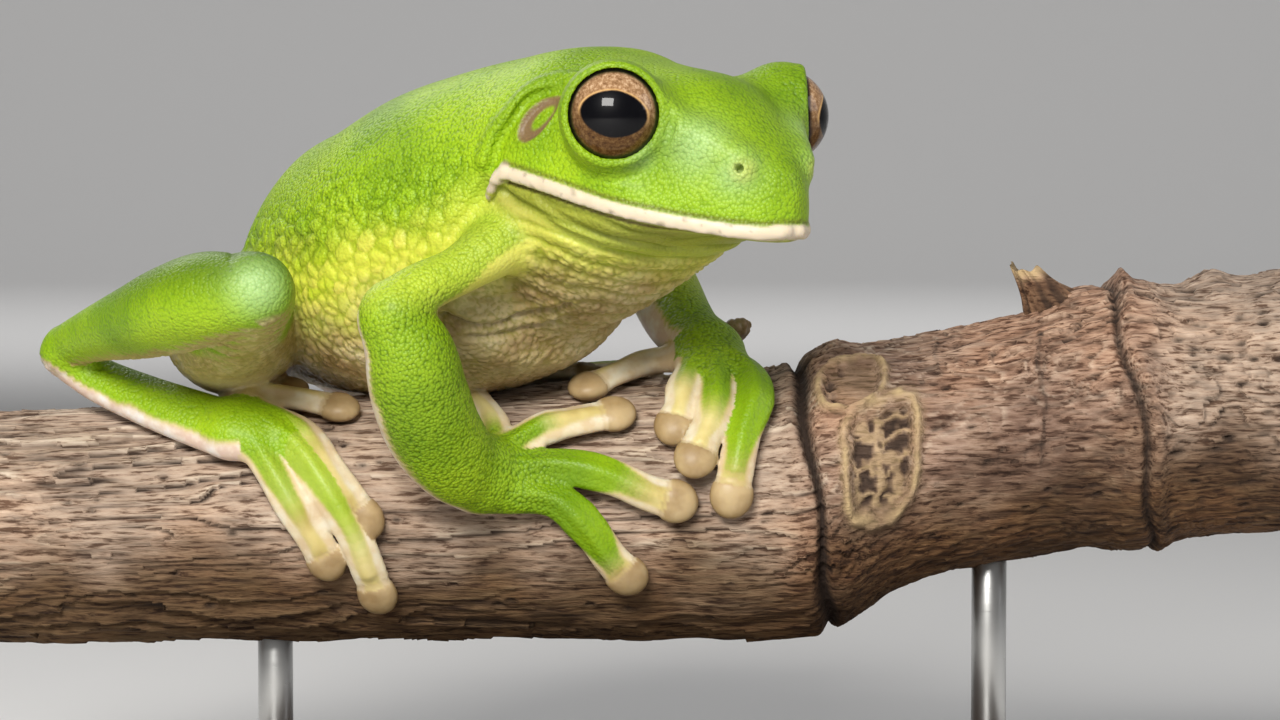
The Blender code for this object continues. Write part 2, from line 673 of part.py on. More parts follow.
def eyelid(side):
    """The mound that holds an eye, and the rim of its lids."""
    centre, look = eye_centre(side), eye_look(side)
    beside = unit(np.cross(look, UP))
    above = np.cross(beside, look)
    reach = math.sqrt(EYE_RADIUS ** 2 - LID_PLANE ** 2) + GAP + 0.6 * LID_RADIUS
    ring = [
        centre + look * LID_PLANE + reach * (beside * math.cos(a) + above * math.sin(a))
        for a in np.linspace(0.0, 2 * np.pi, LID_STEPS, endpoint=False)
    ]
    outward = [look] * LID_STEPS
    return [
        ball("mound", centre, MOUND_RADIUS, MOUND_SIDES),
        hoop("lids", ring, outward, LID_RADIUS, LID_RADIUS, 5),
    ]


def eye_room(side):
    """The cutters that leave an eye's socket and the opening of its lids."""
    centre, look = eye_centre(side), eye_look(side)
    lids = centre + look * (LID_PLANE + 0.7 * LID_RADIUS)
    opening = rod("opening", lids, lids + look * EYE_RADIUS, MOUND_RADIUS + LID_RADIUS)
    return [ball("socket", centre, EYE_RADIUS + GAP, EYE_SIDES), opening]


def eardrum_rim(side):
    """The round rim of an eardrum, on the flank of the head."""
    forward, up = EARDRUM_PLACE
    lean = math.radians(EARDRUM_LEAN)
    ring = []
    for a in np.linspace(0.0, 2 * np.pi, EARDRUM_STEPS, endpoint=False):
        wide, tall = EARDRUM_HALF_WIDTH * math.cos(a), EARDRUM_HALF_HEIGHT * math.sin(a)
        ahead = wide * math.cos(lean) + tall * math.sin(lean)
        ring.append(beside_head(forward + ahead, up + tall * math.cos(lean) - wide * math.sin(lean), side))
    return hoop("eardrum", ring, [side * LEFT] * EARDRUM_STEPS, EARDRUM_RIM, EARDRUM_RIM, 5)


def ear_fold(side):
    """The fold of skin that runs from behind an eye, over the eardrum and down to the shoulder."""
    rows = [
        (*(beside_head(*place, side) - 0.3 * side * LEFT), EAR_FOLD_RADIUS, EAR_FOLD_RADIUS, *(side * LEFT))
        for place in EAR_FOLD
    ]
    return tube("ear_fold", rows, 5, 8)


def lip():
    """The bead along the upper lip, from one corner of the mouth round the snout to the other."""
    right = [in_head(f, 0.1 - half, LIP_HEIGHT - sag) for f, half, _, _, sag in HEAD_STATIONS]
    left = [in_head(f, half - 0.1, LIP_HEIGHT - sag) for f, half, _, _, sag in HEAD_STATIONS]
    tip = in_head(SNOUT_TIP[0] - 0.4, 0.0, LIP_HEIGHT - HEAD_STATIONS[-1][-1])
    places = right + [tip] + left[::-1]
    rows = [(*place, LIP_HALF_DEPTH, LIP_HALF_HEIGHT, *UP) for place in places]
    return tube("lip", rows, LIP_SIDES, LIP_STEPS)


def beyond_mouth(name, shift, reach):
    """A block above or below the mouth, whose near face sags as the mouth does."""
    rings = []
    for forward in (-MOUTH_BLOCK, *[station[0] for station in HEAD_STATIONS], MOUTH_BLOCK):
        near = shift - head_at(forward)[3]
        corners = ((-MOUTH_BLOCK, near), (MOUTH_BLOCK, near), (MOUTH_BLOCK, reach), (-MOUTH_BLOCK, reach))
        rings.append([in_head(forward, *corner) for corner in (corners if reach > 0 else corners[::-1])])
    return skin_over(name, rings, np.mean(rings[0], axis=0), np.mean(rings[-1], axis=0))


def make_head():
    head = body_loft("head")
    pieces = [lip()]
    for side in (-1, 1):
        pieces += eyelid(side) + [eardrum_rim(side), ear_fold(side)]
    apply_boolean(head, "UNION", pieces)
    cutters = [
        beyond("behind_neck", in_head(-NECK_BEHIND_MOUTH, 0, 0), -FORWARD),
        beyond_mouth("below_mouth", GAP / 2, -MOUTH_BLOCK),
    ]
    for side in (-1, 1):
        cutters += eye_room(side)
        cutters.append(ball("nostril", beside_head(*NOSTRIL, side), NOSTRIL_RADIUS, 8))
    return apply_boolean(head, "DIFFERENCE", cutters)


def make_jaw():
    jaw = body_loft("lower_jaw")
    cutters = [
        beyond("behind_neck", in_head(-NECK_BEHIND_MOUTH, 0, 0), -FORWARD),
        beyond_mouth("above_mouth", -GAP / 2, MOUTH_BLOCK),
    ]
    return apply_boolean(jaw, "DIFFERENCE", cutters)


def make_torso():
    torso = body_loft("torso")
    cutters = [
        beyond("before_neck", in_head(-NECK_BEHIND_MOUTH - GAP, 0, 0), FORWARD),
        branch_tube("under_belly", GAP),
    ]
    return apply_boolean(torso, "DIFFERENCE", cutters)


def limb_tube(name, grow=0.0):
    """One length of a limb."""
    limb = LIMBS[name]
    rows = [(*place, half, deep, *limb["depth_is"]) for place, half, deep in limb["places"]]
    return tube(name, rows, LIMB_SIDES, LIMB_RINGS, grow)


def grown(name):
    """A cutter one gap larger than a neighbour."""
    makers = {"body": body_loft, "branch": branch_tube}
    return makers[name]("cutter", GAP) if name in makers else limb_tube(name, GAP)


def make_limb(name, neighbours):
    return apply_boolean(limb_tube(name), "DIFFERENCE", [grown(neighbour) for neighbour in neighbours])


def bark_row(place, sizes):
    """A tube's row for a place on the bark."""
    point, out = on_bark(place)
    return (*point, *sizes, *out)


def digit_row(places, share, sizes):
    """A row of a digit at a share of its length: slim to the pad, which is broad and flat."""
    knots = np.linspace(0.0, 1.0, len(places))
    place = read_curve(knots, places, share)[0]
    root, middle, neck, pad = np.array(sizes)
    if share > PAD_STARTS:
        t = (share - PAD_STARTS) / (1 - PAD_STARTS)
        size = neck + (pad - neck) * (3 - 2 * t) * t * t
    else:
        size = read_curve((0.0, 0.5, 1.0), (root, middle, neck), share / PAD_STARTS)[0]
    return bark_row(place, size)


def web(first, second, reach, grow):
    """A thin web between two digits, its free edge notched, split into triangles alike on both faces."""
    knots_first, knots_second = np.linspace(0, 1, len(first)), np.linspace(0, 1, len(second))
    faces_out = ([], [])
    for i in range(WEB_ROWS + 1):
        for j in range(WEB_COLUMNS + 1):
            across = j / WEB_COLUMNS
            share = i / WEB_ROWS * reach * (1 - WEB_NOTCH * math.sin(math.pi * across))
            a = read_curve(knots_first, first, share)[0]
            b = read_curve(knots_second, second, share)[0]
            point, out = on_bark(a + (b - a) * across)
            for sign, face in zip((1, -1), faces_out):
                face.append(point + sign * (WEB_HALF_DEPTH + grow) * out)
    points = faces_out[0] + faces_out[1]
    width, under = WEB_COLUMNS + 1, len(faces_out[0])
    faces = []
    for i in range(WEB_ROWS):
        for j in range(WEB_COLUMNS):
            k = i * width + j
            for a, b, c in ((k, k + 1, k + width + 1), (k, k + width + 1, k + width)):
                faces += [(a, b, c), (a + under, c + under, b + under)]
    loop = list(range(width))
    loop += [i * width + WEB_COLUMNS for i in range(1, WEB_ROWS + 1)]
    loop += [WEB_ROWS * width + j for j in range(WEB_COLUMNS - 1, -1, -1)]
    loop += [i * width for i in range(WEB_ROWS - 1, 0, -1)]
    for a, b in zip(loop, loop[1:] + loop[:1]):
        faces += [(a, a + under, b + under), (a, b + under, b)]
    return make_object("web", points, faces)


def extremity(plan, root_sizes, digit_sizes, grow=0.0):
    """The pieces of a hand or foot: its root, then its digits, then the webs between them."""
    rows = [bark_row(place, sizes) for place, sizes in zip(plan["root"], root_sizes)]
    pieces = [tube("root", rows, 10, 5, grow)]
    for places in plan["digits"]:
        rows = [digit_row(places, share, digit_sizes) for share in np.linspace(0.0, 1.0, 3 * DIGIT_RINGS)]
        pieces.append(tube("digit", rows, DIGIT_SIDES, DIGIT_RINGS, grow))
    pairs = zip(plan["digits"], plan["digits"][1:], plan["web_reach"])
    return pieces + [web(first, second, reach, grow) for first, second, reach in pairs]


def make_extremity(name, plan, root_sizes, digit_sizes, neighbours, beside=()):
    """A hand or foot, cut clear of its neighbours and of whatever else lies beside it."""
    root, *others = extremity(plan, root_sizes, digit_sizes)
    root.name = name
    apply_boolean(root, "UNION", others)
    cutters = [grown(neighbour) for neighbour in neighbours] + list(beside)
    return apply_boolean(root, "DIFFERENCE", cutters)


def finish(made, words):
    """Gives an object its finish and smooth shading."""
    colour, roughness, metallic = FINISHES[words]
    material = bpy.data.materials.get(words) or bpy.data.materials.new(words)
    material.use_nodes = True
    shader = material.node_tree.nodes["Principled BSDF"]
    shader.inputs["Base Color"].default_value = (*colour, 1.0)
    shader.inputs["Roughness"].default_value = roughness
    shader.inputs["Metallic"].default_value = metallic
    made.data.materials.clear()
    made.data.materials.append(material)
    made.data.shade_smooth()
    made.data.set_sharp_from_angle(angle=math.radians(40))


def main():
    for old in list(bpy.data.objects):
        bpy.data.objects.remove(old)

    finish(make_plate(), "plate")
    for side in ROD_PLACES:
        finish(rod(f"stand_rod_{side}", *rod_ends(side), ROD_RADIUS), "rod")
    finish(make_branch(), "bark")

    finish(make_torso(), "green skin")
    finish(make_head(), "green skin")
    finish(make_jaw(), "pale skin")
    for side, sign in (("right", -1), ("left", 1)):
        finish(ball(f"eye_{side}", eye_centre(sign), EYE_RADIUS, EYE_SIDES), "eye")

    for side in ("right", "left"):
        finish(make_limb(f"thigh_{side}", ("body", "branch")), "green skin")
        finish(make_limb(f"shank_{side}", (f"thigh_{side}", "body", "branch")), "green skin")
        near = (f"shank_{side}", f"thigh_{side}", "body", "branch")
        finish(make_limb(f"tarsus_{side}", near), "green skin")
        finish(make_limb(f"upper_arm_{side}", ("body",)), "green skin")
        finish(make_limb(f"forearm_{side}", (f"upper_arm_{side}", "body", "branch")), "green skin")

    near = ("forearm_left", "upper_arm_left", "body", "branch")
    finish(make_extremity("hand_left", HAND_LEFT, PALM_SIZES, FINGER_SIZES, near), "green skin")
    left_hand = extremity(HAND_LEFT, PALM_SIZES, FINGER_SIZES, GAP)
    near = ("forearm_right", "body", "branch")
    finish(make_extremity("hand_right", HAND_RIGHT, PALM_SIZES, FINGER_SIZES, near, left_hand), "green skin")
    near = ("tarsus_right", "shank_right", "thigh_right", "body", "branch")
    finish(make_extremity("foot_right", FOOT_RIGHT, SOLE_SIZES, TOE_SIZES, near), "green skin")
    left_hand = extremity(HAND_LEFT, PALM_SIZES, FINGER_SIZES, GAP)
    near = ("tarsus_left", "shank_left", "forearm_left", "body", "branch")
    finish(make_extremity("foot_left", FOOT_LEFT, SOLE_SIZES, TOE_SIZES, near, left_hand), "green skin")


main()
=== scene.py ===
"""The looks of a life-size white-lipped tree frog on a cut branch, held by a display stand.

Sizes are in millimetres in the stand's own frame, and become metres as each mesh is made.
"""

import math

import bpy
import numpy as np
import openvdb
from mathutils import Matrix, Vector, noise


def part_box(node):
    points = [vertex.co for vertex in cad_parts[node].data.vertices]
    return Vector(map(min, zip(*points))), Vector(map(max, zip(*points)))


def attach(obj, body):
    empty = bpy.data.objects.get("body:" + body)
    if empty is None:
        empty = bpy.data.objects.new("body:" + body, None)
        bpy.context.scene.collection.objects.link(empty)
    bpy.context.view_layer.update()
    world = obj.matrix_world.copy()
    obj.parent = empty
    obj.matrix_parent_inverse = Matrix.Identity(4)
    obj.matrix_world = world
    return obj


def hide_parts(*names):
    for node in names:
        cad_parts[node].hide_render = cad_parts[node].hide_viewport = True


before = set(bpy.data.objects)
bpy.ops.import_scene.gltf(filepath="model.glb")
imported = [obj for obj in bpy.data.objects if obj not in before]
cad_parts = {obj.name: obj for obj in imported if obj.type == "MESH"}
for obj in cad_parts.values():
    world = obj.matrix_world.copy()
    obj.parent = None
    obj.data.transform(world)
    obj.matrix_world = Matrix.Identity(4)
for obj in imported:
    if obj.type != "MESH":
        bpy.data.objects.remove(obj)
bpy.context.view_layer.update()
MM = 0.001
ROOT = "root"


# Camera, floor and lights
# The picture was taken with a long lens, nearly level with the frog. The floor and the soft lights
# are a plain pale studio.

CAMERA_DISTANCE = 480.0
CAMERA_RISE = math.radians(3.0)
LOOKS_AT = (0.0, 0.0, 60.0)
LENS = 107.4
FLOOR_RADIUS = 2200.0
WALL_CURVE = 1000.0
WALL_HEIGHT = 3000.0
BOWL_SIDES = 96

eye_point = Vector(LOOKS_AT) + CAMERA_DISTANCE * Vector((0.0, -math.cos(CAMERA_RISE), math.sin(CAMERA_RISE)))
camera = bpy.data.objects.new("camera", bpy.data.cameras.new("camera"))
camera.data.lens = LENS
camera.data.sensor_width = 36.0
camera.data.clip_start = 0.01
camera.data.clip_end = 50.0
camera.location = MM * eye_point
camera.rotation_euler = (math.pi / 2 - CAMERA_RISE, 0.0, 0.0)
bpy.context.scene.collection.objects.link(camera)
bpy.context.scene.camera = camera


def principled(name, **values):
    """A material with a Principled shader, whose plain values are set on its own sockets."""
    material = bpy.data.materials.new(name)
    material.use_nodes = True
    shader = material.node_tree.nodes["Principled BSDF"]
    for socket, value in values.items():
        shader.inputs[socket.replace("_", " ")].default_value = value
    return material, material.node_tree, shader


def mesh_object(name, points, faces, material):
    """An object of this scene from points in millimetres."""
    mesh = bpy.data.meshes.new(name)
    mesh.from_pydata((MM * np.asarray(points, float)).tolist(), [], [list(map(int, f)) for f in faces])
    mesh.materials.append(material)
    mesh.shade_smooth()
    made = bpy.data.objects.new(name, mesh)
    bpy.context.scene.collection.objects.link(made)
    return made


def turns_round(count):
    """Even turns round a circle."""
    return np.linspace(0.0, 2 * np.pi, count, endpoint=False)


def grid_faces(rows, columns):
    """The faces of a grid of points that closes on itself along its columns."""
    at = np.arange(rows * columns).reshape(rows, columns)
    beside = np.roll(at, -1, axis=1)
    return np.stack([at[:-1], beside[:-1], beside[1:], at[1:]], axis=-1).reshape(-1, 4)


floor_material = principled("studio_floor", Roughness=0.7, Base_Color=(0.72, 0.71, 0.70, 1.0))[0]
# The floor curves up all round into a wall, so that no edge shows behind the branch
bends = np.linspace(0, math.pi / 2, 16)
bowl_profile = [(0.3 * FLOOR_RADIUS, 0.0)]
bowl_profile += [(FLOOR_RADIUS + WALL_CURVE * math.sin(t), WALL_CURVE * (1 - math.cos(t))) for t in bends]
bowl_profile += [(FLOOR_RADIUS + WALL_CURVE, WALL_HEIGHT)]
bowl_points = [(0.0, 0.0, 0.0)]
for reach, height in bowl_profile:
    bowl_points += [(reach * math.cos(t), reach * math.sin(t), height) for t in turns_round(BOWL_SIDES)]
bowl_faces = [(0, 1 + k, 1 + (k + 1) % BOWL_SIDES) for k in range(BOWL_SIDES)]
bowl_faces += (1 + grid_faces(len(bowl_profile), BOWL_SIDES)[:, ::-1]).tolist()
mesh_object("studio_floor", bowl_points, bowl_faces, floor_material)

# Each light's place, width, height, power and colour. All but the wall's own light face the frog
LIGHTS = (
    ("key", (-120.0, -490.0, 340.0), 240.0, 170.0, 4.5, (1.0, 0.98, 0.94)),
    ("side", (600.0, -60.0, 330.0), 300.0, 300.0, 1.0, (0.95, 0.97, 1.0)),
    ("back", (-300.0, 480.0, 480.0), 360.0, 240.0, 1.1, (1.0, 1.0, 1.0)),
    ("wall", (0.0, 900.0, 900.0), 1600.0, 500.0, 16.0, (1.0, 1.0, 1.0)),
)
WALL_LIT_AT = (0.0, 3200.0, 700.0)
for name, place, width, height, power, colour in LIGHTS:
    lamp = bpy.data.lights.new(name, "AREA")
    lamp.shape = "RECTANGLE"
    lamp.size = MM * width
    lamp.size_y = MM * height
    lamp.energy = power
    lamp.color = colour
    stand = bpy.data.objects.new(name, lamp)
    stand.location = MM * Vector(place)
    aim = Vector(WALL_LIT_AT if name == "wall" else LOOKS_AT) - Vector(place)
    stand.rotation_euler = aim.to_track_quat("-Z", "Y").to_euler()
    bpy.context.scene.collection.objects.link(stand)
world = bpy.data.worlds.new("studio")
world.use_nodes = True
sky = world.node_tree.nodes["Background"]
sky.inputs["Color"].default_value = (0.80, 0.82, 0.85, 1.0)
sky.inputs["Strength"].default_value = 0.26
bpy.context.scene.world = world
bpy.context.scene.view_settings.view_transform = "Standard"


# The branch
# A dead branch of a small tree, sawn clean at both ends. Its dry bark is cracked along its length,
# with a swollen joint, old leaf scars and the stub of a side shoot.

# Places along the branch, with the height of its middle and its radius there
BRANCH_STATIONS = (
    (-82.0, 38.9, 14.2), (-60.0, 39.6, 14.7), (-40.0, 40.2, 15.1), (-18.0, 40.8, 15.6), (2.0, 41.3, 16.2),
    (17.0, 41.9, 16.8), (24.0, 43.8, 17.7), (32.0, 46.8, 15.6), (45.0, 49.8, 15.1), (57.0, 52.4, 16.1),
    (61.5, 53.2, 17.2), (66.0, 53.4, 16.3), (82.0, 55.0, 16.5),
)
BARK_STEP = 0.32
JOINT_AT = 21.5
LAYERS = 38
CREVICE_AT = 19.6
COLLAR_AT = 59.6
MEAN_RADIUS = 16.0
LATTICE = 32


def read_curve(knots, rows, wanted):
    """Rows read at the wanted places of a smooth curve that has the given rows at its knots."""
    knots = np.asarray(knots, float)
    rows = np.asarray(rows, float)
    wanted = np.atleast_1d(np.asarray(wanted, float))
    slopes = np.gradient(rows, knots, axis=0)
    left = np.clip(np.searchsorted(knots, wanted, side="right") - 1, 0, len(knots) - 2)
    span = (knots[left + 1] - knots[left])[:, None]
    t = (wanted - knots[left])[:, None] / span
    return (
        (1 + 2 * t) * (1 - t) ** 2 * rows[left]
        + t * (1 - t) ** 2 * span * slopes[left]
        + t * t * (3 - 2 * t) * rows[left + 1]
        + t * t * (t - 1) * span * slopes[left + 1]
    )


def along(rows, shares):
    """Rows read at shares of a curve's length, which its first three values measure."""
    rows = np.asarray(rows, float)
    reach = np.concatenate([[0.0], np.cumsum(np.linalg.norm(np.diff(rows[:, :3], axis=0), axis=1))])
    return read_curve(reach, rows, np.asarray(shares) * reach[-1])


def hump(away, width):
    """1 where nothing is away, and falling softly to 0 over a width."""
    return np.exp(-((away / width) ** 2))


def ease(low, high, values):
    """0 below the low value, 1 above the high one, and smooth between."""
    t = np.clip((np.asarray(values, float) - low) / (high - low), 0.0, 1.0)
    return t * t * (3 - 2 * t)


def wave_noise(points, size, seed):
    """Soft noise about zero, from -1 to 1, whose lumps are about the given size."""
    lattice = np.random.default_rng(seed).uniform(-1.0, 1.0, (LATTICE, LATTICE, LATTICE))
    scaled = np.asarray(points, float) / size
    cell = np.floor(scaled).astype(int)
    t = scaled - cell
    t = t * t * (3 - 2 * t)
    found = np.zeros(len(scaled))
    for corner in np.ndindex(2, 2, 2):
        share = np.abs(1 - np.array(corner) - t).prod(axis=1)
        found += share * lattice[tuple(((cell + corner) % LATTICE).T)]
    return found


def branch_at(x):
    """The height of the branch's middle and its radius, at places along it."""
    stations = np.array(BRANCH_STATIONS)
    return read_curve(stations[:, 0], stations[:, 1:], x)


def round_branch(x, a, radius):
    """Points at places along a branch and turns round it."""
    return np.stack([x, radius * np.cos(a), radius * np.sin(a)], axis=1)


def from_top(a):
    """Turns round the branch, from the top either way."""
    return (a + math.pi) % (2 * math.pi) - math.pi


def bark_relief(x, a, radius):
    """How far the bark stands out at places and turns round the branch, how dark it is, and how worn."""
    round_it = round_branch(x, a, radius)
    right = ease(JOINT_AT - 1, JOINT_AT + 9, x)
    even = np.ones(len(x))
    # Long thin layers follow the branch and end in torn edges. They are shorter and finer on the right
    long_way = round_it * np.stack([0.045 + 0.15 * right, 0.35 * even, 0.35 * even], axis=1)
    wander = 1.5 * wave_noise(long_way, 1.0, 5) + 0.30 * wave_noise(round_it * (0.2, 0.8, 0.8), 1.0, 7)
    layer = (LAYERS * a / (2 * math.pi) + (1.0 + 0.5 * right) * wander + 0.02 * x) % 1.0
    edge = 1 - ease(0.04, 0.20, layer)
    worn = ease(0.66, 0.95, layer) * ease(-0.5, 0.4, wave_noise(round_it * (0.3, 1.0, 1.0), 3.0, 15))
    depth = 0.15 + 0.85 * ease(-0.3, 0.5, wave_noise(round_it * (0.18, 0.7, 0.7), 5.0, 9))
    depth *= 1 - 0.45 * right
    fibre = wave_noise(round_it * np.stack([0.10 + 0.12 * right, even, even], axis=1), 0.62, 17)
    speckle = wave_noise(round_it * (0.5, 1.0, 1.0), 0.75, 19)
    lumps = wave_noise(round_it, 5.5, 13)
    relief = (1.25 - 0.4 * right) * depth * (layer - 0.5)
    relief += 0.15 * fibre + (0.07 + 0.11 * right) * speckle + 0.40 * lumps
    # Painted shade darkens the foot of each layer's torn edge, and the low fibres and specks are darker too
    dark = depth * edge + 0.35 * ease(0.25, 0.8, -fibre) + (0.10 + 0.30 * right) * ease(0.3, 0.8, -speckle)
    # The swollen joint ends in a deep crevice, a rough collar stands further along, and thin cracks
    # run across the branch
    lean = 0.5 * (1 - np.cos(a)) + 0.10 * np.sin(5 * a)
    crevice = hump(x - CREVICE_AT - 4.0 * lean, 0.7 + 0.25 * np.sin(3 * a))
    from_collar = x - COLLAR_AT - 5.5 * lean
    beside = hump(from_collar + 1.5, 0.45)
    relief += 0.9 * hump(from_collar, 0.9) * (0.7 + 0.6 * lumps) - 1.7 * crevice - 0.8 * beside
    # Painted shade darkens the crevice and the groove beside the collar
    dark += 1.2 * crevice + 0.9 * beside
    # Old wood stands up where side shoots grew along the top
    for swell_at, reach, spread, height in TOP_SWELLS:
        relief += height * hump(x - swell_at, reach) * hump(from_top(a), spread)
    for crack_at, first, last in CROSS_CRACKS:
        line = hump(x - crack_at - 0.7 * wave_noise(round_it, 2.5, 31), 0.22)
        line *= ease(first, first + 0.3, a) * (1 - ease(last - 0.3, last, a))
        relief += 0.25 * line
        dark += 0.6 * line
    return relief, np.clip(dark, 0.0, 1.0), worn


# Where each swelling is along the branch, its reach along and round it, and its height
TOP_SWELLS = ((54.0, 4.2, 0.45, 1.5), (60.3, 0.9, 0.22, 1.6), (71.5, 2.4, 0.45, 1.2), (24.5, 2.2, 0.4, 0.8))
# Where each crack is along the branch, and the turns between which it runs
CROSS_CRACKS = ((36.5, 0.1, 0.9), (49.0, 0.4, 1.9), (-12.0, -2.6, -1.2), (43.0, -2.4, -1.0))
# Each scar's place along the branch and turn round it, half its size both ways, and its squareness
LEAF_SCAR = (29.4, math.radians(80.0), 4.6, 7.6, 3.0)
BUD_SCAR = (26.0, math.radians(41.0), 4.3, 4.2, 2.2)


def scar_at(x, a, radius, scar):
    """How far places are from a scar's middle, as shares of its size: in all, along and round the branch."""
    at, turn, half_along, half_round, power = scar
    sideways = (x - at) / half_along
    upwards = from_top(a - turn) * radius / half_round
    return (np.abs(sideways) ** power + np.abs(upwards) ** power) ** (1 / power), sideways, upwards


# Places along the branch between which pits lie, how many there are, and their least and most length
FLECKS = ((-80.0, 19.0, 130, 0.35, 0.8), (33.0, 60.0, 60, 0.35, 0.7), (62.0, 81.0, 150, 0.4, 0.95))


def fleck_field(x, a, radius):
    """Small dark pits shaped like lenses, with a slightly raised lip."""
    rng = np.random.default_rng(23)
    relief, dark = np.zeros(len(x)), np.zeros(len(x))
    for first, last, count, least, most in FLECKS:
        for _ in range(count):
            at, turn = rng.uniform(first, last), rng.uniform(-math.pi, math.pi)
            size = rng.uniform(least, most)
            near = np.flatnonzero(np.abs(x - at) < 2.5 * size)
            away = np.hypot((x[near] - at) / size, from_top(a[near] - turn) * radius[near] / (0.42 * size))
            relief[near] += 0.15 * np.exp(-((away - 1.5) ** 2) * 3) - 0.45 * hump(away, 1.0)
            dark[near] += 0.95 * hump(away, 1.0)
    return relief, dark


def join(tree, socket, value):
    """Gives a shader's socket a plain value, or joins it to another node's output."""
    if isinstance(value, bpy.types.NodeSocket):
        tree.links.new(value, socket)
    else:
        socket.default_value = value


def add_node(tree, kind, settings=(), **inputs):
    """A shader node with its settings and inputs."""
    node = tree.nodes.new("ShaderNode" + kind)
    for name, value in settings:
        setattr(node, name, value)
    for name, value in inputs.items():
        join(tree, node.inputs[name.replace("_", " ")], value)
    return node


def mask(tree, name):
    """The number of that name that is kept for each point of the mesh."""
    return add_node(tree, "Attribute", [("attribute_name", name)]).outputs["Fac"]


def cloud(tree, stretch=None, **inputs):
    """Noise all through the object, of one scale or with a scale along each axis."""
    place = add_node(tree, "TexCoord").outputs["Object"]
    if stretch is not None:
        place = add_node(tree, "Mapping", Vector=place, Scale=stretch).outputs["Vector"]
        inputs["Scale"] = 1.0
    return add_node(tree, "TexNoise", Vector=place, **inputs).outputs["Fac"]


def ramp(tree, factor, *steps):
    """A number turned into a colour, which is given at some of its values."""
    node = add_node(tree, "ValToRGB", Fac=factor)
    elements = node.color_ramp.elements
    while len(elements) < len(steps):
        elements.new(0.5)
    for element, (position, colour) in zip(elements, steps):
        element.position = position
        element.color = (*colour, 1.0)
    return node.outputs["Color"]


def laid_over(tree, colour, *layers):
    """A colour under layers of others. A layer is its kind of mix, its share or mask, and its colour."""
    for kind, share, above in layers:
        mix = add_node(tree, "Mix", [("data_type", "RGBA"), ("blend_type", kind)])
        join(tree, mix.inputs[0], mask(tree, share) if isinstance(share, str) else share)
        for socket, value in ((mix.inputs[6], colour), (mix.inputs[7], above)):
            join(tree, socket, (*value, 1.0) if isinstance(value, tuple) else value)
        colour = mix.outputs[2]
    return colour


def bark_material():
    """Dry bark: pinkish beige, pale where it is worn, darkened below with olive-brown painted shade, and
    nearly black in its cracks, partly with painted shade.
    """
    material, tree, shader = principled("dry_bark", Roughness=0.85, Specular_IOR_Level=0.25)
    streaks = ramp(
        tree, cloud(tree, (180.0, 900.0, 900.0), Detail=6.0, Roughness=0.65),
        (0.27, (0.11, 0.065, 0.045)), (0.40, (0.26, 0.17, 0.125)), (0.52, (0.41, 0.29, 0.22)),
        (0.66, (0.56, 0.43, 0.34)), (0.80, (0.66, 0.55, 0.46)),
    )
    patches = ramp(
        tree, cloud(tree, Scale=70.0, Detail=4.0),
        (0.38, (1.0, 0.86, 0.76)), (0.50, (0.86, 0.80, 0.76)), (0.64, (0.62, 0.56, 0.54)),
    )
    # Short fine fibres are too small to be shaped
    fibres = cloud(tree, (280.0, 2100.0, 2100.0), Detail=4.0, Roughness=0.6)
    shreds = ramp(
        tree, fibres, (0.37, (0.24, 0.18, 0.15)), (0.48, (0.84, 0.80, 0.77)), (0.60, (1.0, 1.0, 1.0)),
    )
    toned = laid_over(
        tree, streaks,
        ("MULTIPLY", 1.0, patches),
        ("MIX", "worn", (0.68, 0.57, 0.45)),
        ("MULTIPLY", 1.0, shreds),
        # Painted shade, olive brown, below the branch
        ("MULTIPLY", "under", (0.34, 0.28, 0.18)),
        ("MIX", "tan", (0.52, 0.38, 0.20)),
        ("MIX", "dark", (0.028, 0.017, 0.012)),
    )
    join(tree, shader.inputs["Base Color"], toned)
    bump = add_node(tree, "Bump", Height=fibres, Strength=0.9, Distance=0.0005)
    join(tree, shader.inputs["Normal"], bump.outputs["Normal"])
    return material


def store(made, name, values):
    """Keeps a number for each point of a mesh."""
    layer = made.data.attributes.new(name, "FLOAT", "POINT")
    layer.data.foreach_set("value", np.asarray(values, np.float32))


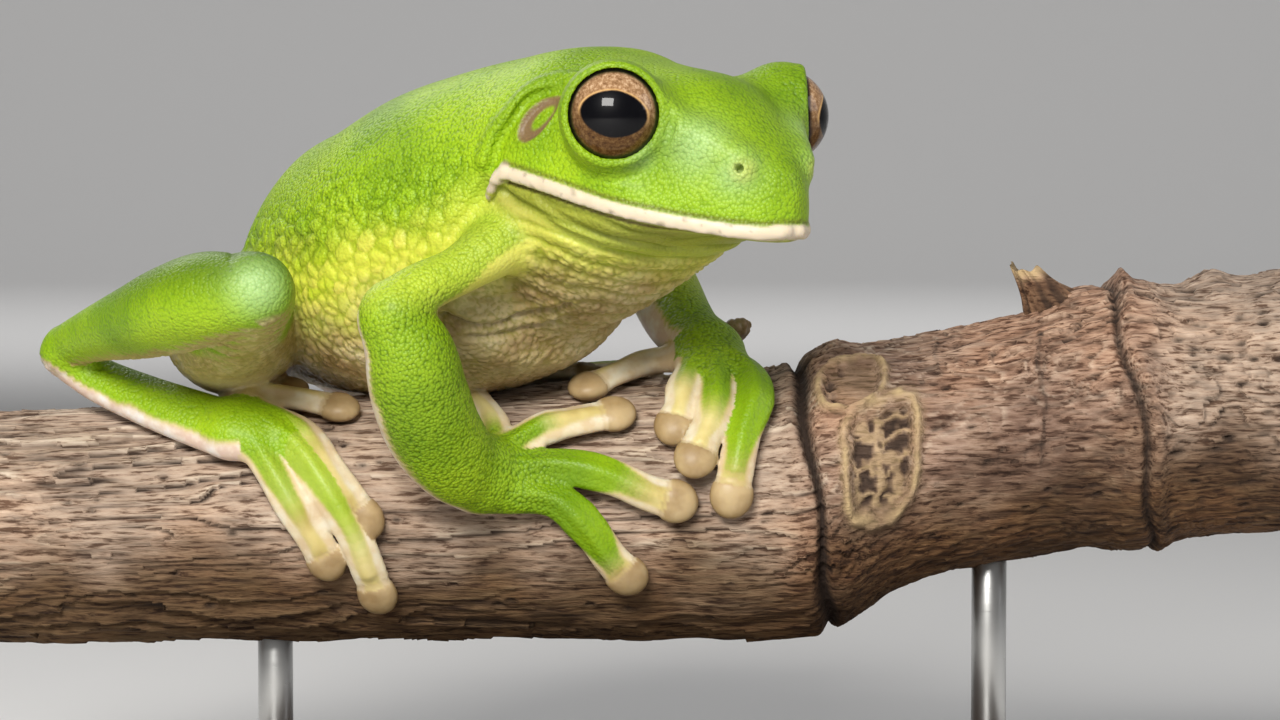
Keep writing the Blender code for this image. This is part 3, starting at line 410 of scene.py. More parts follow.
along_it = np.arange(BRANCH_STATIONS[0][0], BRANCH_STATIONS[-1][0] + BARK_STEP / 2, BARK_STEP)
around = turns_round(int(2 * np.pi * MEAN_RADIUS / BARK_STEP))
grid_x, grid_a = (values.ravel() for values in np.meshgrid(along_it, around, indexing="ij"))
height, radius = branch_at(grid_x).T
relief, dark, worn = bark_relief(grid_x, grid_a, radius)
pits, pit_dark = fleck_field(grid_x, grid_a, radius)
relief += pits
dark = np.clip(dark + pit_dark, 0.0, 1.0)
tan = np.zeros(len(grid_x))
for scar in (LEAF_SCAR, BUD_SCAR):
    away, sideways, upwards = scar_at(grid_x, grid_a, radius, scar)
    flat = np.stack([sideways, upwards, 0 * upwards], axis=1)
    bent = 0.16 * wave_noise(3 * flat, 1.0, 33) + 0.07 * wave_noise(8 * flat, 1.0, 45)
    away = away + 0.35 * bent + 0.10 * upwards * np.abs(sideways)
    inside = 1 - ease(0.72, 0.84, away)
    rim = hump(away - 0.98, 0.12)
    # Dark bundle ends lie in two rows between thin tan ribs
    column = np.abs(sideways + 0.9 * bent + 0.06)
    row = (2.3 * upwards + 2.6 * bent + 0.35 * np.sign(sideways) + 0.5 * np.abs(sideways)) % 1.0
    rib = 1 - ease(0.04, 0.15, column) * ease(0.05, 0.22, row) * (1 - ease(0.78, 0.96, row))
    rib = np.maximum(rib, 0.9 * ease(0.15, 0.55, wave_noise(4.5 * flat, 1.0, 47)))
    pit = inside * (1 - rib)
    if scar is BUD_SCAR:
        pit *= ease(0.1, -0.5, sideways) * ease(0.4, 0.7, away)
    relief = relief * (1 - 0.8 * inside) + 1.1 * rim - 0.45 * inside - 0.45 * pit
    dark = np.clip(dark * (1 - 0.8 * rim) * (1 - 0.5 * inside) + 0.85 * pit, 0.0, 1.0)
    worn = worn * (1 - np.clip(rim + inside, 0, 1))
    rim *= 0.75 + 0.5 * wave_noise(4 * flat, 1.0, 39)
    tan = np.maximum(tan, 0.8 * rim + (0.5 if scar is LEAF_SCAR else 0.15) * inside * (1 - pit))
# Painted shade darkens the branch below, and the bark is paler on the left and at the far right
uneven = 0.25 * wave_noise(round_branch(grid_x, grid_a, MEAN_RADIUS), 6.0, 35)
under = ease(0.25, -0.65, np.cos(grid_a) + uneven)
worn = (0.36 * ease(22.0, 16.0, grid_x) + 0.60 * worn) * (1 - 0.6 * under)
worn *= 1 - 0.6 * ease(28.0, 36.0, grid_x)
worn = np.maximum(worn, 0.35 * ease(60.0, 67.0, grid_x) * (1 - under))
# A saw leaves the ends flat, with a slightly worn edge
to_end = np.minimum(grid_x - along_it[0], along_it[-1] - grid_x)
relief = relief * ease(0.0, 1.2, to_end) - 0.35 * (1 - ease(0.0, 0.7, to_end))
reach = radius + relief
points = np.stack([grid_x, -reach * np.sin(grid_a), height + reach * np.cos(grid_a)], axis=1)
rows, columns = len(along_it), len(around)
bark = bark_material()
branch = mesh_object("branch_bark", points, grid_faces(rows, columns), bark)
for name, values in (("dark", dark), ("tan", tan), ("worn", worn), ("under", under)):
    store(branch, name, values)
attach(branch, ROOT)
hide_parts("perch_branch")


def wood_material():
    """The sawn ends: pale dry wood with narrow growth rings."""
    material, tree, shader = principled("sawn_wood", Roughness=0.8)
    wave = add_node(
        tree, "TexNoise", [("noise_dimensions", "1D")], W=mask(tree, "ring"), Scale=9.0, Detail=3.0,
    )
    ringed = ramp(
        tree, wave.outputs["Fac"],
        (0.35, (0.30, 0.19, 0.10)), (0.50, (0.52, 0.37, 0.22)), (0.65, (0.66, 0.52, 0.34)),
    )
    join(tree, shader.inputs["Base Color"], ringed)
    return material


RINGS_IN_END = 40
sawn = wood_material()
for name, row, side in (("branch_end_left", 0, -1), ("branch_end_right", rows - 1, 1)):
    rim = points[row * columns:(row + 1) * columns]
    middle = np.array((along_it[row], 0.0, height[row * columns]))
    shares = np.linspace(1.0, 0.0, RINGS_IN_END, endpoint=False)
    rng = np.random.default_rng(29 + row)
    face = [middle + (rim - middle) * share for share in shares]
    for ring in face[1:]:
        ring[:, 0] += 0.12 * rng.uniform(-1.0, 1.0)
    end_points = np.concatenate(face + [middle[None]])
    end_faces = grid_faces(RINGS_IN_END, columns).tolist()
    last = (RINGS_IN_END - 1) * columns
    end_faces += [(last + k, last + (k + 1) % columns, len(end_points) - 1) for k in range(columns)]
    end = mesh_object(name, end_points, [f[::-side] for f in end_faces], sawn)
    store(end, "ring", np.append(np.repeat(shares, columns), 0.0) * 3.0)
    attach(end, ROOT)
    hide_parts("perch_branch")

# The stub of the side shoot is a broken spike with a torn, tan tip
# Places up its middle, with half its width there
SHOOT = ((54.4, 0.0, 60.0, 7.4), (53.4, -0.4, 65.0, 5.2), (51.2, -0.5, 68.2, 3.3), (48.6, -1.0, 71.2, 2.2))
SHOOT_RINGS, SHOOT_SIDES = 44, 90
SPLINTERS = 1.1
shares = np.linspace(0.0, 1.0, SHOOT_RINGS)
rings = along(SHOOT, shares)
share, turn = np.repeat(shares, SHOOT_SIDES), np.tile(turns_round(SHOOT_SIDES), SHOOT_RINGS)
middle, half = np.repeat(rings[:, :3], SHOOT_SIDES, axis=0), np.repeat(rings[:, 3], SHOOT_SIDES)
ahead, aside = np.cos(turn), np.sin(turn)
jag = SPLINTERS * wave_noise(np.stack([2 * ahead, 2 * aside, 0 * turn], axis=1), 1.0, 31) - 0.8 * ahead
out = np.stack([ahead, aside, 0.25 * ahead], axis=1)
wrinkle = wave_noise(np.stack([5 * ahead, 5 * aside, 2.5 * share], axis=1), 0.8, 37)
points = middle + out * (half * (1 + 0.10 * wrinkle))[:, None]
points[:, 2] += jag * ease(0.6, 1.0, share)
tip = points[-SHOOT_SIDES:].mean(axis=0) - (0.0, 0.0, 2.2)
shoot_faces = grid_faces(SHOOT_RINGS, SHOOT_SIDES).tolist()
last = (SHOOT_RINGS - 1) * SHOOT_SIDES
shoot_faces += [(last + k, last + (k + 1) % SHOOT_SIDES, len(points)) for k in range(SHOOT_SIDES)]
shoot = mesh_object("branch_stub", np.vstack([points, tip]), shoot_faces, bark)
# Painted shade darkens the inward folds of the stub
in_folds = np.clip(0.35 - 0.8 * wrinkle, 0, 0.8) * (1 - 0.7 * ease(0.8, 1, share))
store(shoot, "dark", np.append(in_folds, 0.9))
store(shoot, "tan", np.append(0.8 * ease(0.84, 0.97, share), 0.6))
# The stub is darkened by the same layer all along but for its torn tip
store(shoot, "under", np.append(0.75 * (1 - ease(0.8, 0.95, share)), 0.0))
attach(shoot, ROOT)
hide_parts("perch_branch")


# The display stand
# A plain base of dark stained wood with eased edges, and two brushed steel rods pressed into it and
# up into holes drilled in the branch.

def steel_material():
    """Brushed steel, with its fine lines round the rod."""
    material, tree, shader = principled(
        "brushed_steel", Metallic=1.0, Roughness=0.32, Base_Color=(0.58, 0.58, 0.57, 1.0),
    )
    lines = cloud(tree, (300.0, 300.0, 9000.0), Detail=3.0)
    spread = add_node(tree, "MapRange", Value=lines, To_Min=0.22, To_Max=0.42)
    join(tree, shader.inputs["Roughness"], spread.outputs["Result"])
    return material


def stained_wood_material():
    """Dark stained hardwood, with its grain along the base and a satin varnish."""
    material, tree, shader = principled(
        "stained_wood", Roughness=0.42, Coat_Weight=0.3, Coat_Roughness=0.25,
    )
    grain = cloud(tree, (30.0, 500.0, 500.0), Detail=7.0, Distortion=0.5)
    stain = ramp(
        tree, grain,
        (0.34, (0.012, 0.007, 0.005)), (0.50, (0.040, 0.022, 0.014)), (0.68, (0.085, 0.048, 0.030)),
    )
    join(tree, shader.inputs["Base Color"], stain)
    bump = add_node(tree, "Bump", Height=grain, Strength=0.25, Distance=0.0001)
    join(tree, shader.inputs["Normal"], bump.outputs["Normal"])
    return material


PLATE_LENGTH, PLATE_WIDTH, PLATE_HEIGHT = 124.0, 80.0, 8.0
PLATE_CORNER = 9.0
PLATE_EDGE = 1.4
ROD_RADIUS = 2.2
ROD_EDGE = 0.3
ROD_SIDES = 48
SHARP_FROM = math.radians(50)


def plate_ring(inset, level):
    """The plate's outline with round corners, drawn in by an inset."""
    corner = PLATE_CORNER - inset
    ring = []
    for quarter, (sx, sy) in enumerate(((1, 1), (-1, 1), (-1, -1), (1, -1))):
        for a in np.linspace(0.0, math.pi / 2, 14) + quarter * math.pi / 2:
            ring.append((
                sx * (PLATE_LENGTH / 2 - inset - corner) + corner * math.cos(a),
                sy * (PLATE_WIDTH / 2 - inset - corner) + corner * math.sin(a),
                level,
            ))
    return ring


def capped_faces(rows, columns):
    """The faces of rings of points one above another, with a flat face at each end."""
    low, high = list(range(columns)), list(range((rows - 1) * columns, rows * columns))
    return grid_faces(rows, columns).tolist() + [low[::-1], high]


# Each step up the plate's side: how far in it is, and how high
steps = [(0.5, 0.0), (0.0, 0.5)]
for a in np.linspace(0.0, math.pi / 2, 7):
    steps.append((PLATE_EDGE * (1 - math.cos(a)), PLATE_HEIGHT - PLATE_EDGE * (1 - math.sin(a))))
steps += [(PLATE_EDGE + 1.2, PLATE_HEIGHT)]
plate_points = [p for inset, level in steps for p in plate_ring(inset, level)]
count = len(plate_ring(0.0, 0.0))
plate_faces = capped_faces(len(steps), count)
plate = mesh_object("display_base", plate_points, plate_faces, stained_wood_material())
plate.data.set_sharp_from_angle(angle=SHARP_FROM)
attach(plate, ROOT)
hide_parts("stand_base")

steel = steel_material()
for side in ("left", "right"):
    low, high = (np.array(corner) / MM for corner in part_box(f"stand_rod_{side}"))
    x = (low[0] + high[0]) / 2
    steps = (
        (ROD_RADIUS - ROD_EDGE, low[2]), (ROD_RADIUS, low[2] + ROD_EDGE),
        (ROD_RADIUS, high[2] - ROD_EDGE), (ROD_RADIUS - ROD_EDGE, high[2]),
    )
    rod_points = [
        (x + r * math.cos(a), r * math.sin(a), z) for r, z in steps for a in turns_round(ROD_SIDES)
    ]
    rod = mesh_object(f"display_rod_{side}", rod_points, capped_faces(len(steps), ROD_SIDES), steel)
    rod.data.set_sharp_from_angle(angle=SHARP_FROM)
    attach(rod, ROOT)
    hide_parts(f"stand_rod_{side}")


# The frog's skin
# One moist skin covers the whole animal, with no seam. The body, each length of limb, every digit
# and web is a smooth form, and they are melted into one another where the real ones grow together.

VOXEL = 0.32
BAND = 4.2
FIELD_LOW = np.array((-80.0, -50.0, 26.0))
FIELD_HIGH = np.array((24.0, 52.0, 106.0))

HEAD_ORIGIN = np.array((-5.3, -16.9, 83.4))
HEAD_TURN = math.radians(48.0)
HEAD_DROP = math.radians(11.0)
LEVEL_REACH = math.cos(HEAD_DROP)
FORWARD = np.array((
    math.cos(HEAD_TURN) * LEVEL_REACH, -math.sin(HEAD_TURN) * LEVEL_REACH, -math.sin(HEAD_DROP),
))
LEFT = np.array((math.sin(HEAD_TURN), math.cos(HEAD_TURN), 0.0))
UP = np.cross(FORWARD, LEFT)
# How far forward of the mouth's corners, half the width, the crown above the mouth, the throat below
# it, and how far the mouth sags there below the level of its corners
HEAD_STATIONS = np.array((
    (0.0, 17.0, 15.6, 20.0, 0.0), (5.0, 16.8, 15.3, 17.0, 0.0), (10.0, 16.1, 15.5, 12.8, 0.25),
    (14.0, 15.2, 16.0, 8.8, 0.6), (17.5, 14.2, 16.4, 5.6, 0.95), (20.5, 13.0, 16.2, 3.2, 1.15),
    (23.5, 11.4, 15.0, 1.5, 1.25), (26.5, 9.4, 13.0, 0.8, 1.3), (29.5, 7.2, 10.8, 0.5, 1.3),
    (32.0, 4.9, 9.0, 0.4, 1.2), (33.6, 2.9, 7.2, 0.3, 1.0), (34.3, 1.4, 5.2, 0.3, 0.7),
))
CROWN_SQUARENESS = 2.35
THROAT_SQUARENESS = 1.9
JAW_INSET = 0.9
SNOUT_TIP = (34.6, 2.4)
TORSO_ORIGIN = (-5.0, -20.0)
TORSO_TURN = math.radians(45.0)
BACKWARD = np.array((-math.cos(TORSO_TURN), math.sin(TORSO_TURN), 0.0))
TORSO_LEFT = np.array((math.sin(TORSO_TURN), math.cos(TORSO_TURN), 0.0))
# How far back, half the width, and the heights of back, flank and belly
TORSO_STATIONS = np.array((
    (10.0, 17.2, 97.7, 76.0, 59.6), (18.0, 19.0, 96.4, 74.0, 56.8), (28.0, 20.2, 94.2, 72.0, 55.4),
    (38.0, 18.6, 90.2, 71.0, 55.2), (46.0, 15.8, 87.4, 70.0, 55.6), (50.0, 14.2, 84.4, 69.5, 56.0),
    (54.0, 12.2, 79.0, 68.5, 56.8), (58.0, 9.2, 73.6, 67.5, 58.5), (61.0, 5.4, 70.0, 66.5, 61.5),
))
TORSO_SQUARENESS = 2.15
RUMP_TIP = (62.4, 66.2)
BODY_SIDES, BODY_RINGS = 110, 170


def unit(vectors):
    """The same directions, with a length of one."""
    vectors = np.asarray(vectors, float)
    return vectors / np.linalg.norm(vectors, axis=-1, keepdims=True)


def in_head(forward, left, up):
    """A point given in the head's own frame."""
    return HEAD_ORIGIN + forward * FORWARD + left * LEFT + up * UP


def head_at(forward):
    """Half the head's width, its crown, its throat and the mouth's sag, at places along it."""
    inside = np.clip(forward, 0.0, HEAD_STATIONS[-1, 0])
    return read_curve(HEAD_STATIONS[:, 0], HEAD_STATIONS[:, 1:], inside).T


def beside_head(forward, up, side, out=0.0):
    """The point of the head's flank at a place forward of and above the mouth's corner."""
    half, crown, throat, sag = (value[0] for value in head_at(forward))
    above = up + sag
    share = min(abs(above) / (crown if above > 0 else throat), 1.0)
    sideways = half * (1 - share ** CROWN_SQUARENESS) ** (1 / CROWN_SQUARENESS) + out
    return in_head(forward, side * sideways, up)


def closed_form(rings, first_tip, last_tip):
    """Rings of points with a point that closes each end: the points, the quads and the end triangles."""
    rings = np.asarray(rings, float)
    count, sides = rings.shape[:2]
    points = np.vstack([rings.reshape(-1, 3), first_tip, last_tip])
    k = np.arange(sides)
    after = (k + 1) % sides
    last = (count - 1) * sides
    first_end = np.stack([after, k, np.full(sides, len(points) - 2)], axis=1)
    last_end = np.stack([last + k, last + after, np.full(sides, len(points) - 1)], axis=1)
    return points, grid_faces(count, sides), np.concatenate([first_end, last_end])


def ring_part(half_width, reach, squareness, turns):
    """How far sideways and up a body's ring reaches, at turns round it."""
    reached = [np.sign(w) * np.abs(w) ** (2 / squareness) for w in (np.cos(turns), np.sin(turns))]
    return np.stack([half_width * reached[0], reach * reached[1]], axis=1)


def body_form():
    """The body from snout to vent. The lower jaw is narrower than the lip that hangs over it."""
    turns = turns_round(BODY_SIDES)
    above = (np.sin(turns) > -1e-9)[:, None]
    rings = []
    for forward, half, crown, throat, sag in HEAD_STATIONS[::-1]:
        upper = ring_part(half, crown, CROWN_SQUARENESS, turns)
        place = np.where(above, upper, ring_part(half - JAW_INSET, throat, THROAT_SQUARENESS, turns))
        rings.append(in_head(forward, place[:, :1], place[:, 1:] - sag))
    for back, half, top, flank, belly in TORSO_STATIONS:
        upper = ring_part(half, top - flank, TORSO_SQUARENESS, turns)
        place = np.where(above, upper, ring_part(half, flank - belly, TORSO_SQUARENESS, turns))
        middle = np.array((*TORSO_ORIGIN, flank)) + back * BACKWARD
        rings.append(middle + place[:, :1] * TORSO_LEFT + place[:, 1:] * np.array((0.0, 0.0, 1.0)))
    rows = [np.concatenate([ring.mean(axis=0), ring.ravel()]) for ring in rings]
    even = np.linspace(0.0, 1.0, BODY_RINGS)
    shares = even - 0.6 * np.sin(2 * np.pi * even) / (2 * np.pi)
    smooth = along(rows, shares)[:, 3:].reshape(BODY_RINGS, BODY_SIDES, 3)
    rump = np.array((*TORSO_ORIGIN, RUMP_TIP[1])) + RUMP_TIP[0] * BACKWARD
    return closed_form(smooth, in_head(SNOUT_TIP[0], 0.0, SNOUT_TIP[1]), rump)


def tube_form(rows, rings=40, sides=32, blunt=(0.9, 0.95)):
    """A round-ended tube. A row is a place, half the width and depth there, and the depth's direction."""
    rows = along(rows, np.linspace(0.0, 1.0, rings))
    middle = rows[:, :3]
    ahead = unit(np.gradient(middle, axis=0))
    across = unit(np.cross(ahead, rows[:, 5:8]))
    outward = unit(np.cross(across, ahead))
    turns = turns_round(sides)[:, None]
    first, last = blunt[0] * rows[0, 3], blunt[1] * rows[-1, 3]
    bends = (0.25, 0.5, 0.8, 1.1, 1.35)
    steps = [(0, -first * math.sin(a), math.cos(a)) for a in bends[::-1]]
    steps += [(at, 0.0, 1.0) for at in range(rings)]
    steps += [(rings - 1, last * math.sin(a), math.cos(a)) for a in bends]
    made = []
    for at, shift, share in steps:
        reach = across[at] * rows[at, 3] * np.cos(turns) + outward[at] * rows[at, 4] * np.sin(turns)
        made.append(middle[at] + ahead[at] * shift + share * reach)
    return closed_form(made, middle[0] - ahead[0] * first, middle[-1] + ahead[-1] * last)


def string_form(places, radius, depth_is, rings=60):
    """A round tube of one size through places."""
    return tube_form([(*place, radius, radius, *depth_is) for place in places], rings=rings, sides=16)


def loop_form(places, outward, half_width, half_depth, sides=16):
    """A closed ring of oval section through places."""
    places = np.asarray(places, float)
    ahead = unit(np.roll(places, -1, axis=0) - np.roll(places, 1, axis=0))
    across = unit(np.cross(ahead, outward))
    out = unit(np.cross(across, ahead))
    turns = turns_round(sides)[None, :, None]
    wide, deep = half_width * np.cos(turns), half_depth * np.sin(turns)
    rings = places[:, None] + wide * across[:, None] + deep * out[:, None]
    quads = grid_faces(len(places) + 1, sides) % (len(places) * sides)
    return rings.reshape(-1, 3), quads, np.zeros((0, 3), int)


def ball_form(centre, radii, axes=None, sides=40):
    """A ball, or an egg with a radius along each of three axes."""
    axes = np.eye(3) if axes is None else np.asarray(axes, float)
    radii = np.broadcast_to(np.asarray(radii, float), 3)
    levels = np.linspace(-math.pi / 2, math.pi / 2, sides // 2 + 2)[1:-1, None]
    turns = turns_round(sides)[None, :]
    local = np.stack(np.broadcast_arrays(
        np.cos(levels) * np.cos(turns), np.cos(levels) * np.sin(turns), np.sin(levels),
    ), axis=-1)
    tip = radii[2] * axes[2]
    return closed_form(np.asarray(centre, float) + (local * radii) @ axes, centre - tip, centre + tip)


space = openvdb.createLinearTransform(voxelSize=VOXEL)
first_voxel = np.floor(FIELD_LOW / VOXEL).astype(int)
field_shape = np.ceil((FIELD_HIGH - FIELD_LOW) / VOXEL).astype(int)


def near_form(form):
    """The slice of a field round a form, and the distance to the form there."""
    points, quads, triangles = form
    grid = openvdb.FloatGrid.createLevelSetFromPolygons(
        np.ascontiguousarray(points, np.float32), triangles=np.ascontiguousarray(triangles, np.uint32),
        quads=np.ascontiguousarray(quads, np.uint32), transform=space, halfWidth=BAND / VOXEL,
    )
    low, high = (np.array(corner) for corner in grid.evalActiveVoxelBoundingBox())
    block = np.empty(high - low + 1, np.float32)
    grid.copyToArray(block, ijk=tuple(int(v) for v in low))
    start = low - first_voxel
    cut_low, cut_high = np.maximum(-start, 0), np.maximum(start + block.shape - field_shape, 0)
    inner = tuple(slice(a, n - b) for a, b, n in zip(cut_low, cut_high, block.shape))
    outer = tuple(slice(s + a, s + n - b) for s, a, b, n in zip(start, cut_low, cut_high, block.shape))
    return outer, block[inner]


def blend_width(where, near, wide, narrow, reach):
    """How softly forms melt together: wide round a joint, and narrow away from it."""
    if near is None:
        return wide
    axes = [(np.arange(s.start, s.stop) + first_voxel[i]) * VOXEL - near[i] for i, s in enumerate(where)]
    away = axes[0][:, None, None] ** 2 + axes[1][None, :, None] ** 2 + axes[2][None, None, :] ** 2
    return (narrow + (wide - narrow) * np.exp(-away / reach ** 2)).astype(np.float32)


def melt_in(field, where, block, width):
    """Adds a form to a field, melted in over a width."""
    there = field[where]
    share = np.clip(0.5 + 0.5 * (there - block) / width, 0.0, 1.0)
    melted = there * (1 - share) + block * share - width * share * (1 - share)
    field[where] = np.where(block < 0.98 * BAND, melted, there)


def add_form(field, form, width, near=None, narrow=0.4, reach=6.0):
    """Melts a form into a field, most widely near a joint, and says where it lies in the field."""
    where, block = near_form(form)
    melt_in(field, where, block, blend_width(where, near, width, narrow, reach))
    return where


def press_form(field, form, width):
    """Presses a form into a field, with its edge rounded over a width."""
    where, block = near_form(form)
    there = field[where]
    share = np.clip(0.5 - 0.5 * (there + block) / width, 0.0, 1.0)
    pressed = there * (1 - share) - block * share + width * share * (1 - share)
    field[where] = np.where(block < 0.98 * BAND, pressed, there)


# Each length of a limb: places along its middle, with half its width and half its depth there, the
# direction of its depth, the direction in which its skin is green, how much of it is green near its
# first and last places, and how pale its underside is
LIMBS = {
    "upper_arm_right": {
        "green": (0.6, 1.0), "pale": 0.0, "depth_is": (0.0, 0.0, 1.0), "green_is": (-0.2, -0.2, 1.0),
        "places": (
            (-11.0, -21.0, 78.5, 4.6, 4.4), (-17.5, -27.0, 74.6, 3.9, 3.6), (-21.6, -29.3, 72.0, 3.0, 2.9),
            (-25.7, -31.2, 70.0, 3.3, 3.1), (-28.8, -32.4, 67.6, 4.1, 3.7),
        ),
    },
    "forearm_right": {
        "green": (0.75, 0.75), "pale": 0.9, "depth_is": (0.0, -1.0, 0.3), "green_is": (0.55, -0.75, 0.35),
        "places": (
            (-28.9, -32.6, 66.2, 4.2, 4.0), (-27.4, -31.6, 63.2, 5.2, 5.0), (-26.0, -28.6, 57.2, 5.8, 5.4),
            (-24.4, -25.4, 52.6, 5.7, 5.0), (-21.6, -21.8, 48.7, 5.2, 4.2), (-19.6, -19.6, 47.2, 4.7, 3.4),
        ),
    },
    "upper_arm_left": {
        "green": (0.6, 1.0), "pale": 0.3, "depth_is": (0.0, 0.0, 1.0), "green_is": (0.3, 0.2, 1.0),
        "places": (
            (0.0, -11.0, 77.0, 4.4, 4.4), (3.2, -3.0, 75.6, 3.6, 3.6), (3.8, 4.0, 75.4, 3.1, 3.0),
            (2.6, 10.4, 75.6, 3.5, 3.3), (1.4, 13.6, 75.4, 3.8, 3.6),
        ),
    },
    "forearm_left": {
        "green": (0.66, 0.66), "pale": 0.9, "depth_is": (0.0, 0.3, 1.0), "green_is": (0.80, -0.45, 0.40),
        "places": (
            (1.3, 14.2, 74.6, 3.9, 4.0), (1.9, 12.0, 71.4, 4.4, 4.6), (3.6, 7.4, 67.4, 4.5, 4.6),
            (5.5, 2.2, 64.2, 4.2, 4.2), (7.7, -1.8, 62.2, 3.8, 3.4),
        ),
    },
    "thigh_right": {
        "green": (0.3, 1.0), "pale": 0.0, "depth_is": (0.0, 0.0, 1.0), "green_is": (-0.12, -0.30, 0.93),
        "places": (
            (-37.0, 20.0, 67.0, 8.6, 8.4), (-47.9, 10.0, 65.0, 8.4, 8.8), (-50.8, -4.0, 64.4, 8.7, 8.6),
            (-48.9, -17.0, 67.0, 6.5, 6.8), (-45.6, -28.5, 69.4, 5.0, 5.0), (-44.6, -32.6, 70.0, 4.1, 4.3),
        ),
    },
    "shank_right": {
        "green": (1.0, 1.0), "pale": 0.0, "depth_is": (0.0, 0.0, 1.0), "green_is": (0.0, -0.5, 1.0),
        "places": (
            (-46.6, -32.0, 69.5, 4.5, 4.6), (-50.6, -28.6, 69.0, 5.9, 5.4), (-55.4, -23.2, 67.4, 6.2, 5.4),
            (-60.8, -16.8, 65.6, 5.1, 4.6), (-66.4, -10.4, 63.9, 3.6, 3.5), (-71.4, -4.8, 62.0, 2.5, 2.7),
        ),
    },
    "tarsus_right": {
        "green": (0.56, 0.56), "pale": 1.0, "depth_is": (0.0, -1.0, 0.8), "green_is": (0.0, -0.35, 0.94),
        "places": (
            (-72.4, -4.1, 60.9, 2.5, 2.2), (-67.6, -5.0, 58.0, 2.9, 2.3), (-61.6, -7.4, 55.6, 3.3, 2.4),
            (-55.4, -10.2, 53.6, 3.7, 2.4), (-49.6, -12.4, 51.8, 4.0, 2.3),
        ),
    },
    "thigh_left": {
        "green": (0.3, 1.0), "pale": 0.0, "depth_is": (0.0, 0.0, 1.0), "green_is": (0.0, 0.3, 1.0),
        "places": (
            (-36.0, 19.0, 67.0, 7.6, 7.6), (-28.0, 27.0, 67.6, 7.6, 7.2), (-17.0, 32.8, 68.8, 6.8, 6.4),
            (-6.4, 36.4, 70.0, 5.6, 5.4), (-0.6, 38.0, 70.6, 4.6, 4.6), (2.2, 38.4, 70.4, 4.0, 4.0),
        ),
    },
    "shank_left": {
        "green": (1.0, 1.0), "pale": 0.0, "depth_is": (0.0, 0.0, 1.0), "green_is": (0.0, 0.5, 1.0),
        "places": (
            (1.0, 41.0, 69.4, 4.4, 4.4), (-5.0, 43.6, 68.4, 5.6, 5.2), (-14.0, 42.8, 66.2, 5.8, 5.0),
            (-25.0, 38.4, 63.6, 4.6, 4.2), (-35.0, 33.0, 61.2, 3.2, 3.0), (-43.0, 28.2, 59.4, 2.5, 2.5),
        ),
    },
    "tarsus_left": {
        "green": (0.62, 0.62), "pale": 1.0, "depth_is": (0.0, 0.5, 1.0), "green_is": (0.0, 0.5, 1.0),
        "places": (
            (-44.2, 27.4, 58.4, 2.3, 2.2), (-39.0, 25.0, 55.6, 2.5, 2.3), (-32.4, 21.6, 53.4, 2.9, 2.4),
            (-25.0, 17.4, 53.0, 3.2, 2.3), (-18.6, 13.6, 53.4, 3.4, 2.2),
        ),
    },
}

# Hands and feet lie on the bark. Each place is how far along the branch it is, how many degrees
# round it from the top towards the viewer, and how far above the bark. The greens tell how much of
# each digit's back is green
HAND_RIGHT = {
    "root": ((-20.0, 69.0, 4.4), (-16.6, 72.0, 3.2), (-13.4, 73.5, 2.2)),
    "digits": (
        ((-17.5, 62.0, 2.0), (-18.0, 50.0, 1.9), (-19.5, 38.0, 1.8), (-21.5, 30.0, 1.7)),
        ((-17.0, 62.0, 2.4), (-12.2, 51.5, 2.2), (-8.0, 47.2, 2.0), (-2.2, 42.1, 1.5)),
        ((-16.0, 69.0, 2.6), (-10.1, 67.6, 2.6), (-4.2, 71.5, 2.4), (1.2, 79.0, 1.9), (5.2, 83.0, 1.4)),
        ((-16.0, 77.0, 2.6), (-10.1, 81.0, 2.6), (-6.2, 92.0, 2.3), (-3.5, 104.5, 1.8), (-1.1, 114.0, 1.5)),
    ),
    "web_reach": (0.3, 0.42, 0.5),
    "greens": (0.1, 0.25, 0.75, 1.0),
}
HAND_LEFT = {
    "root": ((8.6, 7.0, 3.8), (8.9, 16.0, 3.3), (9.2, 24.0, 2.6)),
    "digits": (
        ((6.6, 12.0, 3.0), (1.0, 5.0, 2.2), (-3.0, 14.5, 1.8), (-6.9, 24.0, 1.4)),
        ((7.2, 16.0, 3.0), (5.7, 30.0, 2.4), (5.0, 43.0, 1.9), (4.2, 51.5, 1.5)),
        ((9.0, 18.0, 3.2), (9.5, 35.0, 2.7), (8.9, 49.0, 2.6), (7.6, 59.0, 2.6), (6.5, 67.6, 2.7)),
        ((10.2, 14.0, 3.2), (13.4, 27.0, 2.8), (14.1, 41.0, 2.6), (12.6, 56.0, 2.3), (11.6, 71.0, 1.9),
         (10.9, 83.5, 1.5)),
    ),
    "web_reach": (0.3, 0.5, 0.45),
    "greens": (0.0, 0.15, 0.35, 1.0),
}
FOOT_RIGHT = {
    "root": ((-49.4, 44.0, 3.0), (-46.0, 48.0, 2.6), (-43.0, 53.0, 2.2)),
    "digits": (
        ((-48.4, 34.0, 2.6), (-50.0, 22.0, 2.2), (-47.6, 11.0, 1.9), (-43.5, 7.0, 1.6)),
        ((-48.4, 34.0, 2.8), (-46.8, 24.5, 2.4), (-42.0, 25.6, 2.0), (-36.3, 32.1, 1.5)),
        ((-47.4, 38.0, 2.6), (-41.9, 47.0, 2.3), (-38.7, 62.0, 2.1), (-35.8, 75.5, 1.8), (-32.9, 89.0, 1.5)),
        ((-47.0, 44.0, 2.8), (-42.4, 54.4, 2.8), (-38.4, 72.0, 2.6), (-34.9, 91.0, 2.3),
         (-33.0, 108.0, 2.0), (-31.7, 125.0, 1.5)),
        ((-47.8, 50.0, 2.6), (-44.4, 67.6, 2.4), (-41.4, 84.0, 2.1), (-39.4, 95.0, 1.8), (-37.9, 105.5, 1.5)),
    ),
    "web_reach": (0.5, 0.6, 0.8, 0.98),
    "greens": (0.0, 0.0, 0.15, 0.66, 0.36),
}
